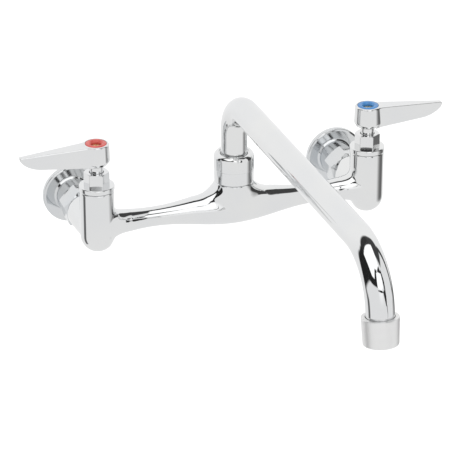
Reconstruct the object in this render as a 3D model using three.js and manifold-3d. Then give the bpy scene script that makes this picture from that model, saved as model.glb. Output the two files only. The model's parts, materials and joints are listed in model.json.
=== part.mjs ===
// A wall-mounted commercial mixing faucet with two lever handles and a swing nozzle.
// Millimetres. +X runs towards the cold side, +Y into the wall and +Z up.
// The origin is on the wall plane, midway between the two inlets.
import * as THREE from 'three';
import { mergeVertices } from 'three/addons/utils/BufferGeometryUtils.js';
import Module from 'manifold-3d';

const wasm = await Module();
wasm.setup();

// ---------------------------------------------------------------- driving sizes
const CENTRES = 203.2;           // between the two inlets (8 in)
const STANDOFF = 66.5;           // wall to the plane of the valve axes
const FIT = 0.3;                 // clearance between pieces that fit in one another
const SEAL_FIT = 0.15;           // clearance of a soft ring in its groove
const ROUND = 24;                // sides of a large turned surface
const SMALL_ROUND = 12;          // sides of a small turned surface
const NOZZLE_SIDES = 20;         // sides of the bent tube

// body casting
const BARREL_R = 12.3;
const BARREL_TOP = 31.5;
const BARREL_ROUND_Z = -3.6;     // where the rounded bottom of a barrel starts
const HORN_R = 13;
const HORN_NECK_R = 12.2;
const HORN_LENGTH = 33;          // from the valve axis to the horn's shoulder
const NOSE_R = 10.6;             // threaded nose that carries the coupling nut
const NOSE_LENGTH = 9;
const ARM_R = 7.2;               // the slim middle of an arm
const ARM_Z = 4;                 // the arms' axis above the inlets' axis
const ARM_FLARE_R = 11.2;        // where an arm runs into its barrel
const ARM_FLARE_LENGTH = 31;
const HEART_R = 13.4;            // the swelling under the centre boss
const HEART_SPREAD = 60;         // from the centre to where the swelling ends
const FLARE_POWER = 1.8;         // how quickly the casting's flares die out
const BOSS_R = 13.9;
const BOSS_TOP = 23.8;
const BOSS_FLARE = 8.3;          // height of the boss's flare into the arms
const BOSS_FLARE_REACH = 9;      // how far the flare runs out along each arm
const NECK_R = 11.6;             // threaded neck that the nozzle nut screws onto
const NECK_TOP = 33;

// waterways
const PORT_R = 4;
const PORT_Z = -6;               // the inlet bore's axis
const SEAT_Z = 3;                // floor of the valve chamber
const CHAMBER_R = 9.4;
const ARM_BORE_R = 3.4;
const ARM_BORE_Z = 6.5;
const NOSE_BORE_R = 7;
const NOSE_BORE_DEPTH = 12;

// wall inlets
const FLANGE_R = 21.6;
const FLANGE_THICK = 4.3;
const FLANGE_CHAMFER = 0.7;
const FLANGE_DISH = 1.4;         // how far the front face sinks towards the hub
const HUB_SHANK_R = 12;          // the inlet's hub between flange and coupling nut
const HUB_FOOT = 1.4;            // the small flare where the hub meets its flange
const INLET_BORE_R = 6;
const INLET_SOCKET_R = 7.9;      // the female thread that takes the wall's nipple
const INLET_SOCKET_DEPTH = 9;
const GASKET_THICK = 1.5;
const TAIL_COLLAR_THICK = 2.4;
const TAIL_NECK_R = 9.1;
const TAIL_THREAD_R = 8.6;
const TAIL_THREAD_LENGTH = 6;
const COUPLING_FLATS = 26;
const COUPLING_WALL = 2.6;       // web that draws the tail's collar forward
const COUPLING_CHAMFER_R = 12.5; // radius to which the hex is turned at its ends
const HOT_COUPLING_TURN = -15;   // how far each nut and bonnet is screwed round, in degrees
const COLD_COUPLING_TURN = -11;
const HOT_BONNET_TURN = 11;
const COLD_BONNET_TURN = 5;

// valves
const BONNET_FLANGE_R = 12.6;
const BONNET_FLANGE_THICK = 3.6;
const BONNET_HEX_FLATS = 15.9;   // 5/8 in
const BONNET_HEX_HEIGHT = 9.9;
const BONNET_SHANK_R = CHAMBER_R - FIT;
const BONNET_SHANK_LENGTH = 15.5;
const SKIRT_R = 7.5;
const CARTRIDGE_R = 6;           // bore of the bonnet and its skirt
const BONNET_WEB = 5.7;          // thickness over the stem's collar
const WINDOW_WIDTH = 6;
const WINDOW_HEIGHT = 2.6;
const DISC_THICK = 3;
const SEAT_SEAL_THICK = 2.6;
const STEM_R = 4.8;
const STEM_COLLAR = 9;
const STEM_TONGUE_WIDTH = 2.6;
const STEM_TONGUE_DEPTH = 1.6;
const ORING_R = 0.9;             // section of the small O-rings
const SPLINE_R = 4;
const SPLINE_LENGTH = 8.2;
const SPLINE_TEETH = 12;
const SPLINE_DEPTH = 0.5;

// handles
const HANDLE_BOTTOM = 51.1;
const HANDLE_TOP = 66.7;
const HUB_TOP_R = 9.3;
const HUB_R = 9.9;
const HUB_BOTTOM_R = 7.9;
const HUB_CHAMFER_HEIGHT = 3;
const LEVER_REACH = 55.3;        // from the stem's axis to the tip
const LEVER_ROOT_WIDTH = 13.5;   // of the flat top, carried back to the stem's axis
const LEVER_TIP_WIDTH = 4.4;
const LEVER_ROOT_TOP = 66.6;
const LEVER_TIP_TOP = 64;
const LEVER_ROOT_BOTTOM = 50.2;
const LEVER_TIP_BOTTOM = 55;     // where the underside's line ends before it curves up
const LEVER_TIP_RISE = 15;       // length over which the underside curves up to the tip
const LEVER_EDGE = 1;            // flat along the blade's upper edges
const LEVER_FILLET_R = 15;       // hollow between the hub and the blade's flat sides
const INDEX_R = 7.55;
const INDEX_DEPTH = 3;           // how far the disc is let into the handle
const INDEX_RISE = 0.5;          // how far it stands proud
const SCREW_HEAD_R = 3.2;
const SCREW_HEAD_HEIGHT = 1.5;
const SCREW_R = 1.7;
const SCREW_LENGTH = 14;
const SCREW_SLOT = 0.7;
const HOT_REST_DEG = 180.6;      // where the closed hot lever points
const COLD_REST_DEG = -4.4;      // where the closed cold lever points

// nozzle
const TUBE_R = 9.525;            // 3/4 in tube
const TUBE_WALL = 1.2;
const NOZZLE_REST_DEG = 2.2;     // swing to the right of straight out
const NOZZLE_REACH = 254;        // 10 in, from the swing axis to the outlet
const NOZZLE_RISE = 85.3;        // height at which the long run's line meets the swing axis
const NOZZLE_SLOPE_DEG = 1.9;
const TOP_BEND_R = 23;
const END_BEND_R = 41;
const END_TILT_DEG = 6.8;        // the outlet leans outwards from straight down
const END_STUB = 5.3;            // straight tube between end bend and outlet
const NUT_R = 14.5;
const NUT_LOWER_R = 14.2;
const NUT_BOTTOM = 24.1;
const NUT_STEP = 33.7;
const NUT_SHOULDER = 41.7;
const NUT_TOP = 45.6;
const NUT_LIP_R = 11.7;
const NUT_RECESS = 1;            // depth and width of the step round the tube
const SLEEVE_R = 8;
const SLEEVE_WALL = 1.7;
const SLEEVE_BOTTOM = 12;
const SLEEVE_TOP = 43;
const RETAINER_R = 11.3;
const RETAINER_THICK = 2;
const RETAINER_GROOVE = 0.8;
const RETAINER_GAP = 3;
const WASHER_THICK = 1.2;
const SLEEVE_ORING_R = 0.6;
const SLEEVE_ORING_DROPS = [9.5, 16.5];  // below the neck's top

// outlet
const OUTLET_R = 12.5;
const OUTLET_TIP_R = 11.8;
const OUTLET_HEIGHT = 17.5;
const OUTLET_LIP = 1.4;
const OUTLET_MOUTH_R = 8.6;
const OUTLET_LEDGE = 2;
const SCREEN_THICK = 1;
const FLOW_DISC_THICK = 3;
const FLOW_HOLES = 8;
const FLOW_HOLE_R = 1.1;

// ---------------------------------------------------------------- derived sizes
const HALF = CENTRES / 2;
const ARM_END = HALF - BARREL_R * 0.55;
const NOSE_END = HORN_LENGTH + NOSE_LENGTH;
const GASKET_LOW = NOSE_END + FIT / 2;
const COLLAR_LOW = GASKET_LOW + GASKET_THICK + FIT / 2;
const COLLAR_HIGH = COLLAR_LOW + TAIL_COLLAR_THICK;
const COUPLING_LOW = HORN_LENGTH + FIT;
const COUPLING_BORE_R = NOSE_R + FIT;
const COUPLING_WEB_LOW = COLLAR_HIGH + FIT / 2;
const COUPLING_HIGH = COUPLING_WEB_LOW + COUPLING_WALL;
const HUB_LOW = COUPLING_HIGH + FIT;
const BONNET_BASE = BARREL_TOP + FIT;
const BONNET_TOP = BONNET_BASE + BONNET_FLANGE_THICK + BONNET_HEX_HEIGHT;
const LOWER_DISC_Z = SEAT_Z + SEAT_SEAL_THICK;
const UPPER_DISC_Z = LOWER_DISC_Z + DISC_THICK;
const STEM_FOOT_Z = UPPER_DISC_Z + DISC_THICK;
const SPLINE_TOP = HANDLE_BOTTOM + SPLINE_LENGTH;
const FILLET_CENTRE = HUB_TOP_R + LEVER_FILLET_R;
const FILLET_END = Math.sqrt(FILLET_CENTRE ** 2 - (LEVER_ROOT_WIDTH / 2 + LEVER_FILLET_R) ** 2);
const FILLET_START = (FILLET_END * HUB_TOP_R) / FILLET_CENTRE;
const TUBE_BORE_R = TUBE_R - TUBE_WALL;
const NECK_BORE_R = SLEEVE_R + FIT;
const RETAINER_Z = NECK_TOP + FIT;
const WASHER_Z = RETAINER_Z + RETAINER_THICK + FIT / 2;
const NUT_WEB_Z = WASHER_Z + WASHER_THICK + FIT / 2;
const TUBE_FOOT = RETAINER_Z + RETAINER_THICK + FIT;

// ---------------------------------------------------------------- finishes
const chrome = new THREE.MeshStandardMaterial({ color: 0xd9dadb, roughness: 0.06, metalness: 1 });
const satin = new THREE.MeshStandardMaterial({ color: 0xb9bbbc, roughness: 0.35, metalness: 1 });
const brass = new THREE.MeshStandardMaterial({ color: 0xc9a558, roughness: 0.3, metalness: 1 });
const steel = new THREE.MeshStandardMaterial({ color: 0xc2c4c6, roughness: 0.3, metalness: 1 });
const rubber = new THREE.MeshStandardMaterial({ color: 0x1c1c1e, roughness: 0.8, metalness: 0 });
const ceramic = new THREE.MeshStandardMaterial({ color: 0xf1efe9, roughness: 0.25, metalness: 0 });
const nylon = new THREE.MeshStandardMaterial({ color: 0xe9e7df, roughness: 0.5, metalness: 0 });
const red = new THREE.MeshStandardMaterial({ color: 0xd8392b, roughness: 0.35, metalness: 0 });
const blue = new THREE.MeshStandardMaterial({ color: 0x3f86cf, roughness: 0.35, metalness: 0 });

// ---------------------------------------------------------------- tools
const rad = THREE.MathUtils.degToRad;

/** Turn a three.js geometry with closed surfaces into a solid. */
function toSolid(geometry) {
  const bare = geometry.clone();
  bare.deleteAttribute('normal');
  bare.deleteAttribute('uv');
  const merged = mergeVertices(bare, 1e-4);
  const vertProperties = Float32Array.from(merged.attributes.position.array);
  const triVerts = Uint32Array.from(merged.index.array);
  const solid = new wasm.Manifold(new wasm.Mesh({ numProp: 3, vertProperties, triVerts }));
  return solid.volume() < 0 ? flipped(vertProperties, triVerts) : solid;
}

/** The same surface with every face turned over. */
function flipped(vertProperties, triVerts) {
  const turned = triVerts.slice();
  for (let i = 0; i < turned.length; i += 3) {
    [turned[i + 1], turned[i + 2]] = [turned[i + 2], turned[i + 1]];
  }
  return new wasm.Manifold(new wasm.Mesh({ numProp: 3, vertProperties, triVerts: turned }));
}

/** Turn a solid back into a geometry. */
function toGeometry(solid) {
  const mesh = solid.getMesh();
  const geometry = new THREE.BufferGeometry();
  geometry.setAttribute('position', new THREE.BufferAttribute(mesh.vertProperties, 3));
  geometry.setIndex(new THREE.BufferAttribute(mesh.triVerts, 1));
  geometry.computeVertexNormals();
  return geometry;
}

/** Make a named sub-part from a solid. */
function part(name, solid, material) {
  const mesh = new THREE.Mesh(toGeometry(solid), material);
  mesh.name = name;
  return mesh;
}

/** A solid turned about +Z from [radius, height] points that start and end on the axis. */
function turned(profile, sides = ROUND) {
  const points = profile.map(([r, z]) => new THREE.Vector2(r, z));
  const geometry = new THREE.LatheGeometry(points, sides);
  geometry.rotateX(Math.PI / 2);
  return toSolid(geometry);
}

/** A turned ring with a rectangular section. */
function ring(inner, outer, low, high, sides = ROUND) {
  return turned([[inner, low], [outer, low], [outer, high], [inner, high], [inner, low]], sides);
}

/** A turned plug with a rectangular section. */
function plug(radius, low, high, sides = ROUND) {
  return turned([[0, low], [radius, low], [radius, high], [0, high]], sides);
}

/** An O-ring with its middle at height z. */
function oRing(middleRadius, section, z, sides = ROUND) {
  const points = [];
  const steps = 5;
  for (let i = 0; i <= steps; i += 1) {
    const angle = (i / steps) * 2 * Math.PI;
    points.push([middleRadius + section * Math.cos(angle), z + section * Math.sin(angle)]);
  }
  points[steps] = points[0];
  return turned(points, sides);
}

/** A hexagonal prism along +Z with two faces square to X. */
function hexPrism(flats, low, high) {
  const geometry = new THREE.CylinderGeometry(flats / Math.sqrt(3), flats / Math.sqrt(3), high - low, 6);
  geometry.rotateX(Math.PI / 2);
  geometry.translate(0, 0, (low + high) / 2);
  return toSolid(geometry);
}

/** A box given by its two corners. */
function box(low, high) {
  const size = high.map((value, axis) => value - low[axis]);
  const geometry = new THREE.BoxGeometry(...size);
  geometry.translate(...high.map((value, axis) => (value + low[axis]) / 2));
  return toSolid(geometry);
}

/** A solid that was turned about +Z, laid along +Y with its zero at the wall plane. */
function alongY(solid) {
  return solid.rotate([-90, 0, 0]);
}

/** Skin rings of equally many points, and close both ends. */
function loft(rings) {
  const count = rings[0].length;
  const positions = [];
  rings.forEach((points) => points.forEach((p) => positions.push(p.x, p.y, p.z)));
  const index = [];
  for (let k = 0; k + 1 < rings.length; k += 1) {
    for (let i = 0; i < count; i += 1) {
      const a = k * count + i;
      const b = k * count + ((i + 1) % count);
      index.push(a, b, b + count, a, b + count, a + count);
    }
  }
  const last = (rings.length - 1) * count;
  for (let i = 1; i + 1 < count; i += 1) {
    index.push(0, i + 1, i);
    index.push(last, last + i, last + i + 1);
  }
  const geometry = new THREE.BufferGeometry();
  geometry.setAttribute('position', new THREE.Float32BufferAttribute(positions, 3));
  geometry.setIndex(index);
  return toSolid(geometry);
}

// ---------------------------------------------------------------- body casting
/** Radius of the casting's arms at a distance x from the centre. */
function armRadius(x) {
  const distance = Math.abs(x);
  const spread = Math.min(1, distance / HEART_SPREAD);
  const swelling = 0.5 + 0.5 * Math.cos(Math.PI * spread);
  const flare = Math.max(0, 1 - (ARM_END - distance) / ARM_FLARE_LENGTH);
  return ARM_R + (HEART_R - ARM_R) * swelling + (ARM_FLARE_R - ARM_R) * flare ** FLARE_POWER;
}

/** Both arms and the swelling between them, as one loft along X. */
function armsSolid() {
  const steps = 10;
  const sides = 18;
  const rings = [];
  for (let i = -steps; i <= steps; i += 1) {
    const x = (i / steps) * ARM_END;
    const radius = armRadius(x);
    const points = [];
    for (let j = 0; j < sides; j += 1) {
      const angle = (j / sides) * 2 * Math.PI;
      points.push(new THREE.Vector3(x, radius * Math.cos(angle), ARM_Z + radius * Math.sin(angle)));
    }
    rings.push(points);
  }
  return loft(rings);
}

/** The centre boss, flared along the arms at its foot, with the threaded neck on top. */
function bossSolid() {
  const steps = 5;
  const rootR = HEART_R * 0.98;
  const rings = [ellipse(rootR, rootR, ARM_Z)];
  for (let i = 0; i <= steps; i += 1) {
    const t = i / steps;
    const reach = BOSS_FLARE_REACH * (1 - t) ** FLARE_POWER;
    rings.push(ellipse(BOSS_R + reach, BOSS_R, BOSS_TOP - BOSS_FLARE * (1 - t)));
  }
  return loft(rings).add(plug(NECK_R, BOSS_TOP - 1, NECK_TOP));
}

/** A ring of points on an ellipse at height z. */
function ellipse(halfX, halfY, z) {
  const points = [];
  for (let j = 0; j < ROUND; j += 1) {
    const angle = (j / ROUND) * 2 * Math.PI;
    points.push(new THREE.Vector3(halfX * Math.cos(angle), halfY * Math.sin(angle), z));
  }
  return points;
}

/** A valve barrel with its rounded bottom. */
function barrelSolid() {
  const profile = [];
  const steps = 6;
  for (let i = 0; i <= steps; i += 1) {
    const angle = (i / steps) * (Math.PI / 2);
    profile.push([BARREL_R * Math.sin(angle), BARREL_ROUND_Z - BARREL_R * Math.cos(angle)]);
  }
  profile.push([BARREL_R, BARREL_TOP], [0, BARREL_TOP]);
  return turned(profile);
}

/** A rear horn with its threaded nose, turned along Y with its local zero on the valve axis. */
function hornSolid() {
  const edge = 1.2;
  const horn = turned([
    [0, 0], [HORN_NECK_R, 0], [HORN_NECK_R, BARREL_R * 0.8], [HORN_R, HORN_LENGTH * 0.8],
    [HORN_R, HORN_LENGTH - edge], [HORN_R - edge, HORN_LENGTH], [NOSE_R, HORN_LENGTH],
    [NOSE_R, NOSE_END], [0, NOSE_END],
  ]);
  return alongY(horn);
}

/** The waterways of one side, with their local zero on the valve axis. */
function sideWaterways() {
  const chamber = plug(CHAMBER_R, SEAT_Z, BARREL_TOP + 1);
  const port = plug(PORT_R, PORT_Z - PORT_R * 0.4, SEAT_Z + 1, SMALL_ROUND);
  const socketStart = NOSE_END - NOSE_BORE_DEPTH;
  const socket = alongY(plug(NOSE_BORE_R, socketStart, NOSE_END + 1));
  const bore = alongY(plug(PORT_R, 0, socketStart + 1, SMALL_ROUND)).translate([0, 0, PORT_Z / 2]);
  return chamber.add(port).add(socket).add(bore);
}

/** The whole casting with its waterways. */
function bodySolid() {
  let solid = armsSolid().add(bossSolid());
  for (const x of [-HALF, HALF]) {
    solid = solid.add(barrelSolid().translate([x, 0, 0]));
    solid = solid.add(hornSolid().translate([x, 0, 0]));
  }
  const armBore = plug(ARM_BORE_R, -HALF + CHAMBER_R * 0.7, HALF - CHAMBER_R * 0.7, SMALL_ROUND)
    .rotate([0, 90, 0])
    .translate([0, 0, ARM_BORE_Z]);
  const bossBore = plug(NECK_BORE_R, SLEEVE_BOTTOM - FIT, NECK_TOP + 1)
    .add(plug(PORT_R + 1, ARM_BORE_Z - 1, SLEEVE_BOTTOM, SMALL_ROUND));
  solid = solid.subtract(armBore).subtract(bossBore);
  for (const x of [-HALF, HALF]) {
    solid = solid.subtract(sideWaterways().translate([x, 0, 0]));
  }
  return solid.translate([0, -STANDOFF, 0]);
}

// ---------------------------------------------------------------- wall inlets
/** Move a solid made round a valve axis to the left (-1) or right (1) side. */
function onSide(side, solid) {
  return solid.translate([side * HALF, -STANDOFF, 0]);
}

/** Lay a solid turned about +Z along +Y, with its local zero at the plane of the valve axes. */
function inletAt(side, solid) {
  return onSide(side, alongY(solid));
}

/** The round wall flange and hub, with a thread at the back for the wall and one in front for the tail. */
function inletSolid() {
  const front = STANDOFF - FLANGE_THICK;
  const outer = turned([
    [0, HUB_LOW], [HUB_SHANK_R, HUB_LOW], [HUB_SHANK_R, front + FLANGE_DISH - HUB_FOOT],
    [HUB_SHANK_R + HUB_FOOT, front + FLANGE_DISH], [FLANGE_R - FLANGE_CHAMFER, front],
    [FLANGE_R, front + FLANGE_CHAMFER],
    [FLANGE_R, STANDOFF], [0, STANDOFF],
  ]);
  const tailSocket = plug(TAIL_THREAD_R + FIT, HUB_LOW - 1, HUB_LOW + TAIL_THREAD_LENGTH + FIT);
  const wallSocket = plug(INLET_SOCKET_R, STANDOFF - INLET_SOCKET_DEPTH, STANDOFF + 1);
  const bore = plug(INLET_BORE_R, HUB_LOW, STANDOFF, SMALL_ROUND);
  return outer.subtract(tailSocket).subtract(wallSocket).subtract(bore);
}

/** The union tail: a collar held by the coupling nut and a thread in the hub. */
function tailSolid() {
  const collarR = COUPLING_BORE_R - FIT;
  const outer = turned([
    [0, COLLAR_LOW], [collarR, COLLAR_LOW], [collarR, COLLAR_HIGH], [TAIL_NECK_R, COLLAR_HIGH],
    [TAIL_NECK_R, HUB_LOW], [TAIL_THREAD_R, HUB_LOW], [TAIL_THREAD_R, HUB_LOW + TAIL_THREAD_LENGTH],
    [0, HUB_LOW + TAIL_THREAD_LENGTH],
  ]);
  return outer.subtract(plug(INLET_BORE_R, COLLAR_LOW - 1, STANDOFF, SMALL_ROUND));
}

/** The hex coupling nut on the horn's nose, with turned ends. */
function couplingSolid() {
  const cornerR = COUPLING_FLATS / Math.sqrt(3);
  const slope = (cornerR - COUPLING_CHAMFER_R) * 0.6;
  const envelope = turned([
    [0, COUPLING_LOW], [COUPLING_CHAMFER_R, COUPLING_LOW], [cornerR, COUPLING_LOW + slope],
    [cornerR, COUPLING_HIGH - slope], [COUPLING_CHAMFER_R, COUPLING_HIGH], [0, COUPLING_HIGH],
  ]);
  return hexPrism(COUPLING_FLATS, COUPLING_LOW, COUPLING_HIGH)
    .intersect(envelope)
    .subtract(plug(COUPLING_BORE_R, COUPLING_LOW - 1, COUPLING_WEB_LOW))
    .subtract(plug(TAIL_NECK_R + FIT, COUPLING_LOW, COUPLING_HIGH + 1));
}

/** The flat gasket between the horn's nose and the tail's collar. */
function gasketSolid() {
  return ring(NOSE_BORE_R, NOSE_R - FIT, GASKET_LOW, GASKET_LOW + GASKET_THICK);
}

// ---------------------------------------------------------------- valves
/** The bonnet: hex, round flange, threaded shank and windowed skirt. */
function bonnetSolid() {
  const flangeTop = BONNET_BASE + BONNET_FLANGE_THICK;
  const edge = 0.6;
  const shankLow = BONNET_BASE - BONNET_SHANK_LENGTH;
  const turnedPart = turned([
    [0, LOWER_DISC_Z], [SKIRT_R, LOWER_DISC_Z], [SKIRT_R, shankLow], [BONNET_SHANK_R, shankLow],
    [BONNET_SHANK_R, BONNET_BASE], [BONNET_FLANGE_R - edge, BONNET_BASE],
    [BONNET_FLANGE_R, BONNET_BASE + edge], [BONNET_FLANGE_R, flangeTop - edge],
    [BONNET_FLANGE_R - edge, flangeTop], [0, flangeTop],
  ]);
  const hex = hexPrism(BONNET_HEX_FLATS, flangeTop - 1, BONNET_TOP);
  const bore = plug(CARTRIDGE_R, LOWER_DISC_Z - 1, BONNET_TOP - BONNET_WEB);
  const stemHole = plug(STEM_R + FIT, BONNET_TOP - BONNET_WEB - 1, BONNET_TOP + 1);
  let solid = turnedPart.add(hex).subtract(bore).subtract(stemHole);
  const windowLow = UPPER_DISC_Z + FIT;
  for (const angle of [0, 90]) {
    const slot = box(
      [-SKIRT_R - 1, -WINDOW_WIDTH / 2, windowLow],
      [SKIRT_R + 1, WINDOW_WIDTH / 2, windowLow + WINDOW_HEIGHT],
    );
    solid = solid.subtract(slot.rotate([0, 0, angle]));
  }
  const grooveLow = BONNET_BASE - 2 * ORING_R - FIT;
  const grooveFloor = BONNET_SHANK_R - 2 * ORING_R + SEAL_FIT;
  return solid.subtract(ring(grooveFloor, BONNET_SHANK_R + 1, grooveLow, BONNET_BASE - SEAL_FIT));
}

/** The O-ring in the groove below the bonnet's flange. */
function bonnetRingSolid() {
  const middle = BONNET_BASE - ORING_R - (FIT + SEAL_FIT) / 2;
  return oRing(CHAMBER_R - SEAL_FIT - ORING_R + SEAL_FIT / 2, ORING_R - SEAL_FIT / 2, middle);
}

/** The stem: driving tongue, collar with a groove, neck and splined top with a tapped hole. */
function stemSolid() {
  const collarTop = BONNET_TOP - BONNET_WEB - FIT;
  const collarLow = collarTop - STEM_COLLAR;
  const collarR = CARTRIDGE_R - FIT;
  const shaft = turned([
    [0, STEM_FOOT_Z + FIT], [collarR, STEM_FOOT_Z + FIT], [collarR, STEM_FOOT_Z + DISC_THICK],
    [STEM_R, STEM_FOOT_Z + DISC_THICK], [STEM_R, collarLow], [collarR, collarLow], [collarR, collarTop],
    [STEM_R, collarTop], [STEM_R, HANDLE_BOTTOM - FIT], [0, HANDLE_BOTTOM - FIT],
  ]);
  const tongue = box(
    [-STEM_TONGUE_WIDTH / 2, -collarR * 0.7, STEM_FOOT_Z - STEM_TONGUE_DEPTH],
    [STEM_TONGUE_WIDTH / 2, collarR * 0.7, STEM_FOOT_Z + 1],
  );
  const middle = (collarLow + collarTop) / 2;
  const groove = ring(collarR - 2 * ORING_R, collarR + 1, middle - ORING_R, middle + ORING_R);
  const hole = plug(SCREW_R + FIT, SPLINE_TOP - SCREW_LENGTH, SPLINE_TOP + 1, SMALL_ROUND);
  return shaft.add(tongue).add(splineSolid(0, HANDLE_BOTTOM - 1, SPLINE_TOP)).subtract(groove).subtract(hole);
}

/** A splined prism, grown all round by a clearance. */
function splineSolid(clearance, low, high) {
  const shape = new THREE.Shape();
  const corners = SPLINE_TEETH * 2;
  for (let i = 0; i < corners; i += 1) {
    const radius = SPLINE_R + clearance - (i % 2) * SPLINE_DEPTH;
    const angle = (i / corners) * 2 * Math.PI;
    const place = [radius * Math.cos(angle), radius * Math.sin(angle)];
    if (i === 0) shape.moveTo(...place);
    else shape.lineTo(...place);
  }
  const geometry = new THREE.ExtrudeGeometry(shape, { depth: high - low, bevelEnabled: false });
  geometry.translate(0, 0, low);
  return toSolid(geometry);
}

/** The O-ring in the stem collar's groove. */
function stemRingSolid() {
  const middle = BONNET_TOP - BONNET_WEB - FIT - STEM_COLLAR / 2;
  const section = ORING_R - SEAL_FIT;
  return oRing(CARTRIDGE_R - SEAL_FIT - section, section, middle, SMALL_ROUND);
}

/** The turning ceramic disc, with the tongue's slot and two notches that pass water. */
function upperDiscSolid() {
  const disc = plug(CARTRIDGE_R - FIT, UPPER_DISC_Z, STEM_FOOT_Z);
  const slot = box(
    [-STEM_TONGUE_WIDTH / 2 - FIT, -CARTRIDGE_R * 0.75, STEM_FOOT_Z - STEM_TONGUE_DEPTH - FIT],
    [STEM_TONGUE_WIDTH / 2 + FIT, CARTRIDGE_R * 0.75, STEM_FOOT_Z + 1],
  );
  return cutPorts(disc.subtract(slot), CARTRIDGE_R * 0.95, UPPER_DISC_Z);
}

/** The fixed ceramic disc with its two ports. */
function lowerDiscSolid() {
  return cutPorts(plug(CARTRIDGE_R - FIT, LOWER_DISC_Z, UPPER_DISC_Z), CARTRIDGE_R * 0.45, LOWER_DISC_Z);
}

/** Cut two round ports through a ceramic disc, this far from its axis. */
function cutPorts(disc, distance, low) {
  const hole = plug(CARTRIDGE_R * 0.27, low - 1, low + DISC_THICK + 1, 12);
  return disc.subtract(hole.translate([distance, 0, 0])).subtract(hole.translate([-distance, 0, 0]));
}

/** The rubber seal between the lower disc and the casting's seat. */
function seatSealSolid() {
  return ring(PORT_R + FIT, SKIRT_R - FIT, SEAT_Z, LOWER_DISC_Z);
}

// ---------------------------------------------------------------- handles
/** How much the hollow beside the hub widens each side of the blade at this distance. */
function filletGrowth(distance) {
  const back = Math.max(0, FILLET_END - distance);
  return LEVER_FILLET_R - Math.sqrt(LEVER_FILLET_R ** 2 - back ** 2);
}

/** A section across the lever's blade at a distance from the stem's axis. */
function leverSection(distance) {
  const t = distance / LEVER_REACH;
  const flatHalf = (LEVER_ROOT_WIDTH + (LEVER_TIP_WIDTH - LEVER_ROOT_WIDTH) * t) / 2;
  const half = flatHalf + filletGrowth(distance);
  const top = LEVER_ROOT_TOP + (LEVER_TIP_TOP - LEVER_ROOT_TOP) * t;
  const line = LEVER_ROOT_BOTTOM + (LEVER_TIP_BOTTOM - LEVER_ROOT_BOTTOM) * t;
  const toTip = Math.max(0, 1 - (LEVER_REACH - distance) / LEVER_TIP_RISE);
  const bottom = line + (LEVER_TIP_TOP - line) * (1 - Math.sqrt(1 - toTip ** 2 * 0.97));
  const edge = Math.min(LEVER_EDGE, (top - bottom) * 0.3);
  return [
    [-half, bottom + edge * 1.5], [-half + edge, bottom], [half - edge, bottom], [half, bottom + edge * 1.5],
    [half, top - edge], [half - edge, top], [-half + edge, top], [-half, top - edge],
  ].map(([y, z]) => new THREE.Vector3(distance, y, z));
}

/** A lever handle pointing along +X, on its own axis. */
function handleSolid() {
  const hub = turned([
    [0, HANDLE_BOTTOM], [HUB_BOTTOM_R, HANDLE_BOTTOM], [HUB_R, HANDLE_BOTTOM + HUB_CHAMFER_HEIGHT],
    [HUB_TOP_R, HANDLE_TOP - 0.6], [HUB_TOP_R - 0.6, HANDLE_TOP], [0, HANDLE_TOP],
  ]);
  const hollow = [0, 0.3, 0.6].map((share) => FILLET_START + (FILLET_END - FILLET_START) * share);
  const steps = [0, 0.4, 0.65, 0.78, 0.85, 0.9, 0.94, 0.975, 1];
  const straight = steps.map((share) => FILLET_END + (LEVER_REACH - FILLET_END) * share);
  const blade = loft([...hollow, ...straight].map(leverSection));
  const indexSeat = HANDLE_TOP - INDEX_DEPTH;
  const seatCut = plug(INDEX_R + SEAL_FIT, indexSeat, HANDLE_TOP + 1);
  const screwHole = plug(SCREW_R + FIT, HANDLE_BOTTOM, HANDLE_TOP, SMALL_ROUND);
  const socket = splineSolid(FIT, HANDLE_BOTTOM - 1, SPLINE_TOP + FIT);
  const neckSpace = plug(STEM_R + FIT, BONNET_TOP, HANDLE_BOTTOM);
  return hub.add(blade).subtract(seatCut).subtract(screwHole).subtract(socket).subtract(neckSpace);
}

/** The coloured disc in the handle's top. */
function indexSolid() {
  const low = HANDLE_TOP - INDEX_DEPTH;
  const top = HANDLE_TOP + INDEX_RISE;
  const edge = 0.4;
  const disc = turned([
    [0, low], [INDEX_R, low], [INDEX_R, top - edge], [INDEX_R - edge, top], [0, top],
  ]);
  return disc.subtract(plug(SCREW_HEAD_R + FIT, low - 1, top + 1, SMALL_ROUND));
}

/** The slotted screw through the disc and handle into the stem. */
function handleScrewSolid() {
  const seat = HANDLE_TOP - INDEX_DEPTH;
  const low = SPLINE_TOP - SCREW_LENGTH + 1;
  const top = seat + SCREW_HEAD_HEIGHT;
  const screw = turned([
    [0, low], [SCREW_R, low], [SCREW_R, seat], [SCREW_HEAD_R, seat], [SCREW_HEAD_R, top - 0.3],
    [SCREW_HEAD_R - 0.5, top], [0, top],
  ], SMALL_ROUND);
  const slotEnd = SCREW_HEAD_R + 1;
  const slotHalf = SCREW_SLOT / 2;
  return screw.subtract(box([-slotEnd, -slotHalf, top - SCREW_SLOT], [slotEnd, slotHalf, top + 1]));
}

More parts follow.
